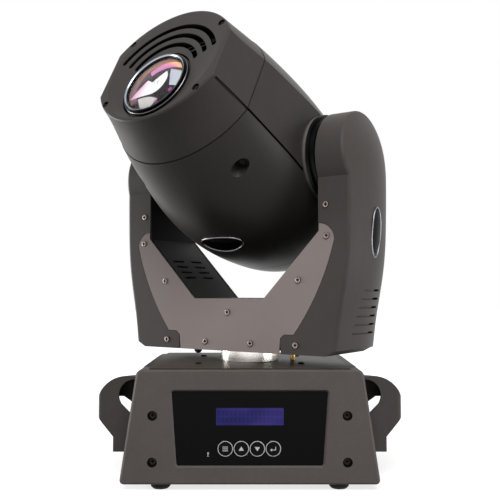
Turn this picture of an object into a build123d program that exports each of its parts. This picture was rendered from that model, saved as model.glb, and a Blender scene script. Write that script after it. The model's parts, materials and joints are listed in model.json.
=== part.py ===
from build123d import *
import os
from math import cos, pi, radians, sin, sqrt

# A moving head light. +Z is up, the base's front faces -Y, and the origin is on the pan axis at the
# underside of the base. The yoke and the head are drawn upright and square to the base, then turned
# to their rest pose when they are written. The head is drawn with its beam along +Z and its tilt
# axis along X through its own origin.

# ---- Rest pose ----
pan_at_rest = -35.0
tilt_at_rest = 61.2
tilt_height = 316.4

# ---- Clearances ----
running_gap = 0.05
seam_gap = 0.4
cap_gap = 1.0
screw_gap = 0.2

# ---- Base ----
base_depth = 184.0
base_height = 107.9
bezel_bottom_half = 124.0
bezel_top_half = 108.0
bezel_depth = 30.0
bezel_wall = 3.0
bezel_edge = 2.0
bezel_boss_radius = 7.5
bezel_boss_setback = 10.0
bezel_screw_x = 92.6
bezel_screw_levels = (20.8, 64.5)
screw_well_radius = 4.7
screw_well_depth = 6.0
bezel_top_radius = 6.5
bezel_bottom_radius = 4.0
panel_top_half = 74.6
panel_bottom_half = 69.5
panel_top_z = 87.6
panel_bottom_z = 17.5
panel_radius = 2.5
panel_margin = 4.0
panel_thickness = 2.0
panel_bevel = 1.5
window_width = 64.5
window_height = 16.6
window_z = 63.3
button_radius = 6.4
button_pitch = 15.2
button_x = -0.5
button_z = 33.2
button_travel = 0.5
button_proud = 0.8
board_thickness = 1.6
tray_sheet = 2.0
tray_flange = 14.0
foot_radius = 9.5
foot_height = 6.5
foot_x = 86.0
foot_y = 75.0
cover_half_width = 97.0
cover_sheet = 1.3
cover_corner = 4.0
cover_inset = 2.0
cover_screw_x = 52.2
cover_screw_y = 43.0
cover_hole = (-31.2, 8.9)
cover_hole_radius = 1.0
connector_half = 78.0
connector_bottom_z = 22.0
connector_top_z = 86.0
bracket_spacing_x = 150.0
bracket_spacing_y = 80.0
bracket_hole_radius = 4.0

# ---- Handles ----
handle_length = 100.0
handle_wall = 3.0
handle_top_z = 97.2
handle_bottom_z = 22.1
handle_crown_x = 119.5
handle_bulge = (144.2, 89.5)
handle_out = 151.5
handle_shoulder_z = 54.7
handle_leg_out = 137.0
handle_leg_z = 37.0
handle_rear_drop = 10.0
handle_corner = 5.0
window_top = (117.6, 94.0)
window_bulge = (128.3, 87.9)
window_bend = (129.1, 69.5)
window_foot = (119.5, 59.7)
rib_thickness = 2.5
rib_places = (-20.0, 6.0, 32.0)
rib_root_z = 80.925
rib_foot_z = 60.0
rib_corner = (131.0, 73.3)

# ---- Pan bearing and drive ----
hub_radius = 22.0
hub_bore = 14.0
carrier_half_x = 93.0
carrier_half_y = 55.0
carrier_thickness = 4.0
bearing_radius = 27.0
collar_radius = 31.4
collar_gap = 0.3
stop_pin_radius = 2.7
stop_pin_x = 46.0
belt_pitch = 3.0
pinion_teeth = 16
pan_teeth = 64
tilt_teeth = 64
tooth_depth = 1.2
belt_width = 7.0
belt_thickness = 1.5
belt_gap = 0.2
pan_motor_x = 74.0
motor_side = 42.0
motor_length = 33.0
motor_shaft_radius = 2.5

# ---- Yoke ----
yoke_bottom_z = 120.9
yoke_half_depth = 40.3
yoke_wall = 3.0
yoke_plate_sheet = 1.5
notch_half = 44.5
notch_z = 174.8
lobe_inner = 108.7
lobe_top_z = 247.4
lobe_notch_z = 240.4
plate_heel_x = 79.6
plate_heel_z = 140.2
plate_foot_half = 62.8
arm_inner = 108.0
arm_root_x = 65.0
arm_sections = (
    (112.0, 130.5),
    (150.0, 137.0),
    (195.0, 145.0),
    (tilt_height - 66.4, 149.5),
    (tilt_height - 26.4, 150.0),
    (tilt_height, 148.4),
    (tilt_height + 24.0, 142.4),
    (tilt_height + 52.0, 131.0),
)
arm_reach = 180.0
arm_headroom = 60.0
arm_heel_x = 114.5
arm_toe_x = 123.0
arm_toe_rise = 4.5
arm_tip_rise = 17.0
arm_edge_radius = 4.0
boss_radius = 46.0
boss_drop = 2.5
arm_crown = 8.5
upright_sheet = 3.0
inner_sheet = 1.5
tilt_shaft_radius = 10.0
tilt_shaft_bore = 6.0
tilt_bearing_radius = 16.0
tilt_motor_z = 165.0
arm_slots = 6
arm_slot_pitch = 8.3
arm_slot_top_z = 183.4
arm_slot_width = 2.0
arm_slot_front = -12.0
arm_slot_step = 2.0
arm_slot_rear = 24.0
arm_slot_open = 11.0
arm_groove_depth = 1.2
vent_length = 19.0
vent_width = 2.8
vent_spacing = 31.0
vent_pitch = 8.5
vent_shift_y = -3.4
vent_shift_up = 1.8
screw_radius = 1.5
screw_head_radius = 3.2
screw_head_height = 1.4

# ---- Head ----
face_c = 163.3
cap_seam_c = 118.0
rear_seam_c = -72.0
rear_c = -128.0
head_wall = 3.0
groove_width = 2.4
groove_depth = 1.6
lens_offset = -22.5
lens_opening_radius = 38.3
barrel_radius = 37.6
dish_radius = 64.0
dish_depth = 3.0
slot_centre = -14.5
slot_radii = (40.6, 51.4, 62.3)
slot_width = 5.2
slot_half_angle = 63.0
web_place = (42.5, 15.7)
web_length = 32.0
web_width = 1.0
web_height = 3.6
web_angle = 15.0
notch_a = 55.3
notch_b = 38.9
notch_radius = 3.7
face_edge_radius = 2.5
cap_step = 0.5
side_collar_radius = 44.0
side_collar_step_radius = 41.0
side_collar_inner = 84.5
side_collar_mid = 99.0
side_collar_out = 103.5
recess_a = 62.0
recess_c = 82.0
recess_radius = 7.4
recess_floor = 60.0
shaft_flange_radius = 22.0
shaft_flange = 3.5
tilt_shaft_end = 126.0
barrel_bore = 34.5
barrel_step_radius = 36.0
barrel_step = 5.0
lip_radius = 33.7
lip_height = 1.6
lip_edge = 0.4
rim_c = 163.6
glass_radius = 31.0
glass_gap = 0.1
glass_seat = 2.0
glass_edge_drop = 1.0
glass_thickness = 8.0
glass_rise = 1.6
focus_lens_radius = 17.0
filters = 7
fan_b = -5.0
fin_pitch = 8.0
rear_slots = 7
rear_slot_pitch = 9.0
rear_slot_width = 3.6
chassis_sheet = 2.5
chassis_half = side_collar_inner
wheel_centre = 12.0
wheel_orbit = wheel_centre - lens_offset
wheel_radius = 48.0
wheel_sheet = 2.0
optics_motor_radius = 10.0
optics_motor_length = 18.0
fan_side = 92.0
fan_depth = 20.0
fan_blades = 7
fin_count = 13
fin_sheet = 2.0

os.makedirs("parts", exist_ok=True)

base_place = Location((0, 0, 0))
yoke_place = Location((0, 0, 0), (0, 0, pan_at_rest))
head_place = yoke_place * Location((0, 0, tilt_height), (tilt_at_rest, 0, 0))


def save(piece, label, place):
    """Put a finished piece at its rest place, name it and write it."""
    placed = piece.part.moved(place)
    placed.label = label
    export_step(placed, f"parts/{label}.step")


# ======================================================================================== base


def bezel_half(z):
    """Half the base's width at height z, along its sloping sides."""
    return bezel_bottom_half + (bezel_top_half - bezel_bottom_half) * z / base_height


def mirrored_face(points):
    """A face from points on the right side, repeated on the left. Its y is the object's height."""
    left = [(-x, z) for x, z in reversed(points) if x > 0]
    with BuildSketch() as face:
        with BuildLine():
            Polyline(*points, *left, close=True)
        make_face()
    return face.sketch


bezel_screw_places = [(x, z) for x in (-bezel_screw_x, bezel_screw_x) for z in bezel_screw_levels]


def make_bezel():
    """Moulded end of the base, drawn for the front: a sloping tray with its open side to the rear."""
    back = base_depth / 2 - bezel_depth
    with BuildPart() as bezel:
        with BuildSketch(Plane.XZ.offset(back)) as outline:
            add(mirrored_face([(bezel_bottom_half, 0), (bezel_top_half, base_height)]))
            fillet(outline.vertices().group_by(Axis.Y)[0], bezel_bottom_radius)
            fillet(outline.vertices().group_by(Axis.Y)[-1], bezel_top_radius)
        extrude(amount=bezel_depth)
        chamfer(bezel.faces().sort_by(Axis.Y)[0].edges(), bezel_edge)
        with BuildSketch(Plane.XZ.offset(back)):
            add(outline.sketch_local)
            offset(amount=-bezel_wall, mode=Mode.REPLACE)
        extrude(amount=bezel_depth - bezel_wall, mode=Mode.SUBTRACT)
        with BuildSketch(Plane.XZ.offset(back + bezel_boss_setback)):
            with Locations(*bezel_screw_places):
                Circle(bezel_boss_radius)
        extrude(amount=bezel_depth - bezel_boss_setback - bezel_wall)
        with BuildSketch(Plane.XZ.offset(base_depth / 2)):
            with Locations(*bezel_screw_places):
                Circle(screw_well_radius)
        extrude(amount=-screw_well_depth, mode=Mode.SUBTRACT)
        with BuildSketch(Plane.XZ.offset(base_depth / 2)):
            with Locations(*bezel_screw_places):
                Circle(screw_radius + screw_gap)
        extrude(amount=-bezel_depth, mode=Mode.SUBTRACT)
    return bezel


def panel_outline(grow):
    """The control panel's outline, wider at the top, grown on every side."""
    with BuildSketch() as outline:
        add(mirrored_face([(panel_bottom_half, panel_bottom_z), (panel_top_half, panel_top_z)]))
        fillet(outline.vertices(), panel_radius)
        if grow:
            offset(amount=grow, mode=Mode.REPLACE)
    return outline.sketch


with BuildPart() as front_bezel:
    add(make_bezel().part)
    with BuildSketch(Plane.XZ.offset(base_depth / 2)):
        add(panel_outline(0))
    extrude(amount=-bezel_wall, mode=Mode.SUBTRACT)
    rim = front_bezel.faces().sort_by(Axis.Y)[0].inner_wires().sort_by(Wire.length)[-1]
    chamfer(rim.edges(), panel_bevel)

with BuildPart() as rear_bezel:
    add(make_bezel().part.rotate(Axis.Z, 180))
    with BuildSketch(Plane.XZ.offset(-base_depth / 2)):
        with Locations((0, (connector_bottom_z + connector_top_z) / 2)):
            RectangleRounded(2 * connector_half, connector_top_z - connector_bottom_z, panel_radius)
    extrude(amount=bezel_wall, mode=Mode.SUBTRACT)

tray_half_length = base_depth / 2 - bezel_depth - seam_gap


def tray_half(z):
    """Half the tray's outer width at height z, inside the bezels' walls."""
    return bezel_half(z) - bezel_wall


with BuildPart() as base_tray:
    with BuildSketch(Plane.XZ.offset(-tray_half_length)):
        flange_z = base_height - tray_sheet
        flange_in = tray_half(base_height) - tray_flange
        add(mirrored_face([
            (tray_half(0), 0),
            (tray_half(base_height), base_height),
            (flange_in, base_height),
            (flange_in, flange_z),
            (tray_half(flange_z) - tray_sheet, flange_z),
            (tray_half(tray_sheet) - tray_sheet, tray_sheet),
        ]))
    extrude(amount=2 * tray_half_length)
    with BuildSketch():
        with GridLocations(bracket_spacing_x, bracket_spacing_y, 2, 2):
            Circle(bracket_hole_radius)
    extrude(amount=tray_sheet, mode=Mode.SUBTRACT)


def handle_face(drop):
    """Section of the right handle across the base, its top lowered by the drop."""
    squash = 1 - drop / (handle_top_z - handle_bottom_z)

    def level(z):
        return handle_bottom_z + (z - handle_bottom_z) * squash

    with BuildSketch() as face:
        with BuildLine():
            Polyline(
                (handle_crown_x, level(handle_top_z)),
                (tray_half(level(handle_top_z)), level(handle_top_z)),
                (tray_half(handle_bottom_z), handle_bottom_z),
                (handle_leg_out, handle_bottom_z),
                (handle_leg_out, level(handle_leg_z)),
                (handle_out, level(handle_shoulder_z)),
            )
            ThreePointArc(
                (handle_out, level(handle_shoulder_z)),
                (handle_bulge[0], level(handle_bulge[1])),
                (handle_crown_x, level(handle_top_z)),
            )
        make_face()
    return face.sketch


def make_handle():
    """Right-hand carrying handle: a ribbed ear, hollow and open below and behind, with a window."""
    front = handle_length / 2
    with BuildPart() as hollow:
        with BuildSketch(Plane.XZ.offset(front - handle_wall)):
            add(handle_face(0))
            offset(amount=-handle_wall)
        with BuildSketch(Plane.XZ.offset(-front)):
            add(handle_face(handle_rear_drop))
            offset(amount=-handle_wall)
        loft()
        with BuildSketch(Plane.XY.offset(handle_bottom_z)):
            mouth_in = tray_half(handle_bottom_z) + handle_wall
            mouth_out = handle_leg_out - handle_wall
            with Locations(((mouth_in + mouth_out) / 2, handle_wall / 2)):
                Rectangle(mouth_out - mouth_in, handle_length - handle_wall)
        extrude(amount=2 * handle_wall)
    with BuildPart() as ribs:
        rib_in = tray_half(rib_root_z) + handle_wall
        with BuildSketch(Plane.XZ) as rib:
            Polygon(
                (rib_in, rib_foot_z),
                rib_corner,
                (handle_out, rib_corner[1]),
                (handle_out, handle_top_z),
                (rib_in, handle_top_z),
                align=None,
            )
        for place in rib_places:
            with BuildSketch(Plane.XZ.offset(rib_thickness / 2 - place)):
                add(rib.sketch_local)
            extrude(amount=-rib_thickness)
        add(hollow.part, mode=Mode.INTERSECT)
    with BuildPart() as handle:
        with BuildSketch(Plane.XZ.offset(front)):
            add(handle_face(0))
        with BuildSketch(Plane.XZ.offset(-front)):
            add(handle_face(handle_rear_drop))
        loft()
        with BuildSketch():
            RectangleRounded(2 * handle_out + 2, handle_length, handle_corner)
        extrude(amount=base_height, mode=Mode.INTERSECT)
        add(hollow.part, mode=Mode.SUBTRACT)
        add(ribs.part)
        with BuildSketch(Plane.XZ.offset(front)):
            with BuildLine():
                Polyline(
                    window_top,
                    (tray_half(window_top[1]) + handle_wall, window_top[1]),
                    (tray_half(window_foot[1]) + handle_wall, window_foot[1]),
                    window_foot,
                    window_bend,
                )
                ThreePointArc(window_bend, window_bulge, window_top)
            make_face()
        extrude(amount=-handle_wall, mode=Mode.SUBTRACT)
    return handle


with BuildPart() as right_handle:
    add(make_handle().part)

with BuildPart() as left_handle:
    add(make_handle().part.mirror(Plane.YZ))

cover_top = base_height + cover_sheet
cover_screw_places = [
    (x, y) for x in (-cover_screw_x, cover_screw_x) for y in (-cover_screw_y, cover_screw_y)
]

with BuildPart() as top_cover:
    with BuildSketch(Plane.XY.offset(base_height)):
        RectangleRounded(2 * cover_half_width, base_depth - 2 * cover_inset, cover_corner)
        Circle(hub_radius + 2, mode=Mode.SUBTRACT)
        with Locations(*cover_screw_places):
            Circle(screw_radius + screw_gap, mode=Mode.SUBTRACT)
        with Locations((stop_pin_x, 0)):
            Circle(stop_pin_radius, mode=Mode.SUBTRACT)
        with Locations(cover_hole):
            Circle(cover_hole_radius, mode=Mode.SUBTRACT)
    extrude(amount=cover_sheet)

with BuildPart() as rubber_feet:
    with BuildSketch():
        with GridLocations(2 * foot_x, 2 * foot_y, 2, 2):
            Circle(foot_radius)
    extrude(amount=-foot_height)
    chamfer(rubber_feet.faces().group_by(Axis.Z)[0].edges(), 2)

# Control panel: gloss front with a window, four buttons, the display behind and one board for all.
panel_front = base_depth / 2 - bezel_wall
board_front = panel_front - panel_thickness - 5
button_places = [(button_x + button_pitch * (i - 1.5), button_z) for i in range(4)]

with BuildPart() as control_panel:
    with BuildSketch(Plane.XZ.offset(panel_front)):
        add(panel_outline(panel_margin))
        with Locations((0, window_z)):
            Rectangle(window_width, window_height, mode=Mode.SUBTRACT)
        with Locations(*button_places):
            Circle(button_radius + screw_gap, mode=Mode.SUBTRACT)
    extrude(amount=-panel_thickness)

with BuildPart() as lcd_module:
    with BuildSketch(Plane.XZ.offset(panel_front - 0.5)):
        with Locations((0, window_z)):
            Rectangle(window_width - screw_gap, window_height - screw_gap)
    extrude(amount=-panel_thickness)
    with BuildSketch(Plane.XZ.offset(panel_front - panel_thickness)):
        with Locations((0, window_z)):
            Rectangle(window_width + 6.5, window_height + 8)
    extrude(amount=-5)

with BuildPart() as control_board:
    with BuildSketch(Plane.XZ.offset(board_front)):
        with Locations((0, (panel_top_z + panel_bottom_z) / 2)):
            Rectangle(2 * panel_bottom_half - 10, panel_top_z - panel_bottom_z - 6)
    extrude(amount=-board_thickness)
    with BuildSketch(Plane.XZ.offset(board_front)):
        with Locations(*button_places):
            Rectangle(6, 6)
    extrude(amount=3)

button_back = board_front + 3 + button_travel + 0.3


def make_button(place):
    """A round key with a collar behind the panel that keeps it in."""
    with BuildPart() as button:
        with BuildSketch(Plane.XZ.offset(button_back)):
            with Locations(place):
                Circle(button_radius)
        extrude(amount=panel_front + button_proud - button_back)
        chamfer(button.faces().sort_by(Axis.Y)[0].edges(), 0.4)
        with BuildSketch(Plane.XZ.offset(button_back)):
            with Locations(place):
                Circle(button_radius + 0.9)
        extrude(amount=panel_front - panel_thickness - button_back - 0.1)
    return button


mode_button = make_button(button_places[0])
up_button = make_button(button_places[1])
down_button = make_button(button_places[2])
enter_button = make_button(button_places[3])

# Rear connectors.
rear_y = base_depth / 2 - bezel_wall
inlet_x = -48.0
inlet_z = 54.0
inlet_width = 24.0
inlet_height = 16.6
inlet_depth = 15.0
socket_radius = 8.2
socket_body_radius = 11.8
socket_depth = 13.0
socket_places = [(10.0, 54.0), (46.0, 54.0)]

with BuildPart() as connector_panel:
    with BuildSketch(Plane.XZ.offset(-rear_y)):
        with Locations((0, (connector_bottom_z + connector_top_z) / 2)):
            Rectangle(2 * connector_half + 8, connector_top_z - connector_bottom_z + 8)
        with Locations((inlet_x, inlet_z)):
            Rectangle(inlet_width + 4, inlet_height + 6, mode=Mode.SUBTRACT)
        with Locations(*socket_places):
            Circle(socket_body_radius, mode=Mode.SUBTRACT)
    extrude(amount=tray_sheet)

with BuildPart() as power_inlet:
    with BuildSketch(Plane.XZ.offset(-rear_y)):
        with Locations((inlet_x, inlet_z)):
            RectangleRounded(inlet_width + 24, inlet_height + 12, 5)
    extrude(amount=-2)
    with BuildSketch(Plane.XZ.offset(-rear_y)):
        with Locations((inlet_x, inlet_z)):
            Rectangle(inlet_width + 4, inlet_height + 6)
    extrude(amount=inlet_depth + 2)
    with BuildSketch(Plane.XZ.offset(-rear_y - 2)):
        with Locations((inlet_x, inlet_z)):
            RectangleRounded(inlet_width, inlet_height, 2.5)
    extrude(amount=inlet_depth, mode=Mode.SUBTRACT)
    with BuildSketch(Plane.XZ.offset(-rear_y - 2 + inlet_depth)):
        with Locations((inlet_x - 7, inlet_z - 2), (inlet_x, inlet_z + 2), (inlet_x + 7, inlet_z - 2)):
            Rectangle(2, 4)
    extrude(amount=-8)

with BuildPart() as dmx_sockets:
    with BuildSketch(Plane.XZ.offset(-rear_y)):
        with Locations(*socket_places):
            RectangleRounded(26, 31, 2)
    extrude(amount=-1.5)
    with BuildSketch(Plane.XZ.offset(-rear_y)):
        with Locations(*socket_places):
            Circle(socket_body_radius)
    extrude(amount=socket_depth + 4)
    with BuildSketch(Plane.XZ.offset(-rear_y - 1.5)):
        with Locations(*socket_places):
            Circle(socket_radius)
    extrude(amount=socket_depth, mode=Mode.SUBTRACT)
    with BuildSketch(Plane.XZ.offset(-rear_y - 1.5 + socket_depth)):
        with Locations(*socket_places):
            with PolarLocations(4, 3, 210, 120):
                Circle(1.2)
    extrude(amount=-7)

with BuildPart() as power_supply:
    with BuildSketch(Plane.XY.offset(tray_sheet)):
        Rectangle(124, 66)
    extrude(amount=34)

# Bearing carrier: a cross plate under the cover with the fixed hub that the yoke turns on.
carrier_top = base_height - tray_sheet
pulley_z = 161.0
hub_top = pulley_z + belt_width + 3

with BuildPart() as pan_hub:
    with BuildSketch(Plane.XY.offset(carrier_top)):
        Rectangle(2 * carrier_half_x, 2 * carrier_half_y)
    extrude(amount=-carrier_thickness)
    with BuildSketch(Plane.XY.offset(carrier_top)):
        with Locations(*cover_screw_places, (stop_pin_x, 0)):
            Circle(5)
    extrude(amount=tray_sheet)
    with BuildSketch(Plane.XY.offset(carrier_top)):
        Circle(hub_radius)
    extrude(amount=hub_top - carrier_top)
    with BuildSketch(Plane.XY.offset(hub_top)):
        Circle(hub_bore)
    extrude(amount=-(hub_top - carrier_top + carrier_thickness), mode=Mode.SUBTRACT)
    with BuildSketch(Plane.XY.offset(base_height)):
        with Locations(*cover_screw_places):
            Circle(screw_radius + screw_gap)
        with Locations((stop_pin_x, 0)):
            Circle(stop_pin_radius)
    extrude(amount=-8, mode=Mode.SUBTRACT)

with BuildPart() as pan_stop_pin:
    with BuildSketch(Plane.XY.offset(carrier_top - carrier_thickness)):
        with Locations((stop_pin_x, 0)):
            Circle(stop_pin_radius)
    extrude(amount=yoke_bottom_z - 1 - carrier_top + carrier_thickness)


def pitch_radius(teeth):
    """Radius of a toothed pulley's outside for the belt's pitch."""
    return teeth * belt_pitch / (2 * pi)


def pulley_face(teeth, bore):
    """A toothed pulley's face: a disc with one round-bottomed gap for each tooth, and a bore."""
    radius = pitch_radius(teeth)
    with BuildSketch() as face:
        Circle(radius)
        with PolarLocations(radius, teeth):
            Rectangle(2 * tooth_depth, belt_pitch / 2, mode=Mode.SUBTRACT)
        if bore:
            Circle(bore, mode=Mode.SUBTRACT)
    return face.sketch


with BuildPart() as pan_pulley:
    with BuildSketch(Plane.XY.offset(pulley_z)):
        add(pulley_face(pan_teeth, hub_radius))
    extrude(amount=belt_width)
    with BuildSketch(Plane.XY.offset(pulley_z)):
        Circle(pitch_radius(pan_teeth) + 2)
        Circle(hub_radius, mode=Mode.SUBTRACT)
    extrude(amount=-1)

# ======================================================================================== yoke
frame_z = yoke_bottom_z + yoke_wall
frame_top = frame_z + upright_sheet

with BuildPart() as pan_bearing:
    with BuildSketch(Plane.XY.offset(cover_top + 1)):
        Circle(bearing_radius)
        Circle(hub_radius + running_gap, mode=Mode.SUBTRACT)
    extrude(amount=frame_top - cover_top - 1)

with BuildPart() as pan_collar:
    with BuildSketch(Plane.XY.offset(cover_top + collar_gap)):
        Circle(collar_radius)
        Circle(bearing_radius, mode=Mode.SUBTRACT)
    extrude(amount=frame_z - cover_top - collar_gap)


def keyhole(inset, bottom):
    """Side view of an arm: a straight post with a round boss about the tilt axis."""
    boss_z = tilt_height - boss_drop
    with BuildSketch() as face:
        half = yoke_half_depth - inset
        with Locations((0, (bottom + boss_z) / 2)):
            Rectangle(2 * half, boss_z - bottom)
        with Locations((0, boss_z)):
            Circle(boss_radius - inset)
    return face.sketch


flange_y = yoke_half_depth - yoke_plate_sheet
upright_x = arm_inner + 0.5

plate_screw_places = [(-117, 235.5), (117, 235.5), (-85.3, 193.4), (85.3, 193.4)]
plate_screw_places += [(-28.8, 129.9), (28.8, 129.9), (0, 160.8)]
arm_screw_z = tilt_height - boss_radius - 5.1
arm_screw_places = [(-116.3, arm_screw_z), (116.3, arm_screw_z), (-82.1, 130.1), (82.1, 130.1)]

with BuildPart() as yoke_frame:
    with BuildSketch(Plane.XY.offset(frame_z)):
        Rectangle(2 * (upright_x + upright_sheet), 2 * (yoke_half_depth - yoke_wall - seam_gap))
        Circle(bearing_radius, mode=Mode.SUBTRACT)
    extrude(amount=upright_sheet)
    for side in (-1, 1):
        with BuildSketch(Plane.XZ.offset(side * (flange_y - 1) - 1)):
            with Locations((0, (frame_z + 168) / 2)):
                Rectangle(120, 168 - frame_z)
        extrude(amount=2)
        with BuildSketch(Plane.YZ.offset(side * (upright_x + upright_sheet / 2) - upright_sheet / 2)):
            add(keyhole(yoke_wall + seam_gap, frame_z))
            with Locations((0, tilt_height)):
                Circle(tilt_bearing_radius, mode=Mode.SUBTRACT)
            with Locations((0, tilt_motor_z)):
                Circle(12, mode=Mode.SUBTRACT)
        extrude(amount=upright_sheet)
    with BuildSketch(Plane.XZ.offset(-60)):
        with Locations(*plate_screw_places):
            Circle(screw_radius + screw_gap)
    extrude(amount=120, mode=Mode.SUBTRACT)


def yoke_plate_face(grow):
    """Front view of the yoke's U-shaped plate: two lobes, a straight-sided notch and a narrow foot."""
    with BuildSketch() as face:
        for side in (-1, 1):
            with BuildLine():
                Polyline(
                    (0, notch_z),
                    (side * notch_half, notch_z),
                    (side * lobe_inner, lobe_notch_z),
                    (side * lobe_inner, lobe_top_z),
                )
                ThreePointArc(
                    (side * lobe_inner, lobe_top_z),
                    (side * 120.5, 242.5),
                    (side * 124.9, 231.5),
                )
                ThreePointArc(
                    (side * 124.9, 231.5),
                    (side * 110.0, 190.0),
                    (side * plate_heel_x, plate_heel_z),
                )
                Polyline(
                    (side * plate_heel_x, plate_heel_z),
                    (side * (plate_foot_half + 6), plate_heel_z),
                    (side * (plate_foot_half + 1.5), plate_heel_z - 4),
                    (side * plate_foot_half, yoke_bottom_z),
                    (0, yoke_bottom_z),
                    (0, notch_z),
                )
            make_face()
        offset(amount=grow)
    return face.sketch


def make_yoke_plate(front):
    """One cover plate of the yoke, at the front or the rear, with its screw holes."""
    start = yoke_half_depth if front else -yoke_half_depth + yoke_plate_sheet
    with BuildPart() as plate:
        with BuildSketch(Plane.XZ.offset(start)):
            add(yoke_plate_face(0))
            with Locations(*plate_screw_places):
                Circle(screw_radius + screw_gap, mode=Mode.SUBTRACT)
        extrude(amount=-yoke_plate_sheet)
    return plate


front_yoke_plate = make_yoke_plate(True)
rear_yoke_plate = make_yoke_plate(False)

# Bent sheet under the head: a flat floor and two slopes, each with two columns of vent slots.
slope_rise = lobe_notch_z - notch_z
slope_run = lobe_inner - notch_half
slope_length = sqrt(slope_rise**2 + slope_run**2)
inner_half_depth = flange_y - 2 - seam_gap

with BuildPart() as inner_cover:
    with BuildSketch(Plane.XZ.offset(-inner_half_depth)):
        lift = inner_sheet * slope_length / slope_run
        shift = lift * (slope_run / slope_rise) * 0.4
        add(mirrored_face([
            (notch_half, notch_z),
            (lobe_inner - 0.5, lobe_notch_z - 0.5 * slope_rise / slope_run),
            (lobe_inner - 0.5, lobe_notch_z - 0.5 * slope_rise / slope_run - lift),
            (notch_half + shift, notch_z - inner_sheet),
        ]))
    extrude(amount=2 * inner_half_depth)
    for side in (-1, 1):
        slope = Plane(
            origin=(side * (notch_half + slope_run / 2), 0, notch_z + slope_rise / 2),
            x_dir=(0, 1, 0),
            z_dir=(-side * slope_rise, 0, slope_run),
        )
        with BuildSketch(slope):
            with Locations((vent_shift_y, side * vent_shift_up)):
                with GridLocations(vent_spacing, vent_pitch, 2, 4):
                    SlotOverall(vent_length, vent_width)
        extrude(amount=-3 * inner_sheet, mode=Mode.SUBTRACT)


arm_ceiling = tilt_height + arm_headroom


def arm_form(inset):
    """The arm's crowned outside, lofted between level sections and shrunk by the wall."""
    half = boss_radius + 4
    with BuildPart() as form:
        for z, crown in arm_sections:
            edge = crown - inset - arm_crown * (half / yoke_half_depth) ** 2
            with BuildSketch(Plane.XY.offset(z)):
                with BuildLine():
                    Polyline((edge, half), (arm_root_x, half), (arm_root_x, -half), (edge, -half))
                    ThreePointArc((edge, -half), (crown - inset, 0), (edge, half))
                make_face()
        loft()
    return form.part


def outer_edge(edge):
    """Whether an edge of the arm's outer face runs up its side or round its boss."""
    return edge.center().Z > yoke_bottom_z


with BuildPart() as arm_shell:
    add(arm_form(0))
    with BuildSketch(Plane.YZ.offset(arm_root_x)):
        add(keyhole(0, yoke_bottom_z))
    extrude(amount=120, mode=Mode.INTERSECT)
    fillet(arm_shell.faces().sort_by(Axis.X)[-1].edges().filter_by(outer_edge), arm_edge_radius)
    with BuildSketch(Plane.XZ.offset(-60)):
        with BuildLine():
            Polyline(
                (arm_root_x, yoke_bottom_z),
                (arm_heel_x, yoke_bottom_z),
                (arm_toe_x, yoke_bottom_z + arm_toe_rise),
                (arm_reach, yoke_bottom_z + arm_tip_rise),
                (arm_reach, arm_ceiling),
                (arm_inner, arm_ceiling),
                (arm_inner, lobe_notch_z - 2.4),
                (arm_root_x, notch_z + 15.2),
                close=True,
            )
        make_face()
    extrude(amount=120, mode=Mode.INTERSECT)

with BuildPart() as arm_cavity:
    add(arm_form(yoke_wall))
    with BuildSketch(Plane.YZ.offset(arm_root_x - 10)):
        add(keyhole(yoke_wall, frame_z))
    extrude(amount=130, mode=Mode.INTERSECT)
    with BuildSketch(Plane.XZ.offset(-60)):
        with BuildLine():
            Polyline(
                (arm_root_x - 10, frame_z),
                (upright_x + upright_sheet, frame_z),
                (upright_x + upright_sheet, frame_z + 4),
                (arm_reach, frame_z + arm_tip_rise),
                (arm_reach, arm_ceiling),
                (arm_root_x - 10, arm_ceiling),
                close=True,
            )
        make_face()
    extrude(amount=120, mode=Mode.INTERSECT)

# Vents low on the arm: shallow grooves that lead back into open slots.
with BuildPart() as arm_grooves:
    with BuildSketch(Plane.YZ.offset(arm_inner + upright_sheet + 4)):
        for i in range(arm_slots):
            groove_front = arm_slot_front - arm_slot_step * i
            with Locations(((groove_front + arm_slot_rear) / 2, arm_slot_top_z - i * arm_slot_pitch)):
                SlotOverall(arm_slot_rear - groove_front, arm_slot_width)
    extrude(amount=60)
    add(arm_form(arm_groove_depth), mode=Mode.SUBTRACT)

with BuildPart() as right_arm_cover:
    add(arm_shell.part)
    add(arm_cavity.part, mode=Mode.SUBTRACT)
    for side in (-1, 1):
        with BuildSketch(Plane.XZ.offset(side * yoke_half_depth)):
            add(yoke_plate_face(0.5))
        extrude(amount=-side * (yoke_plate_sheet + 0.1), mode=Mode.SUBTRACT)
    with BuildSketch(Plane.XZ.offset(-60)):
        with Locations(*plate_screw_places, *arm_screw_places):
            Circle(screw_radius + screw_gap)
    extrude(amount=120, mode=Mode.SUBTRACT)
    add(arm_grooves.part, mode=Mode.SUBTRACT)
    with BuildSketch(Plane.YZ.offset(arm_inner + upright_sheet + 4)):
        for i in range(arm_slots):
            with Locations(((arm_slot_open + arm_slot_rear) / 2, arm_slot_top_z - i * arm_slot_pitch)):
                SlotOverall(arm_slot_rear - arm_slot_open, arm_slot_width)
    extrude(amount=60, mode=Mode.SUBTRACT)

with BuildPart() as left_arm_cover:
    add(right_arm_cover.part.mirror(Plane.YZ))

# Screws: round heads on short shanks, one node for the base and one for the yoke.
yoke_screw_shank = 4.5
bezel_screw_shank = 12.0
cover_screw_shank = 6.0


def screw_set(face_offset, places, head_sink, length):
    """Screws seated on a front or rear face: heads outward, shanks inward."""
    outward = 1 if face_offset > 0 else -1
    with BuildPart() as screws:
        seat = face_offset - outward * head_sink
        with BuildSketch(Plane.XZ.offset(seat)):
            with Locations(*places):
                Circle(screw_head_radius)
        extrude(amount=outward * screw_head_height)
        with BuildSketch(Plane.XZ.offset(seat)):
            with Locations(*places):
                Circle(screw_radius)
        extrude(amount=-outward * length)
    return screws.part


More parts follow.
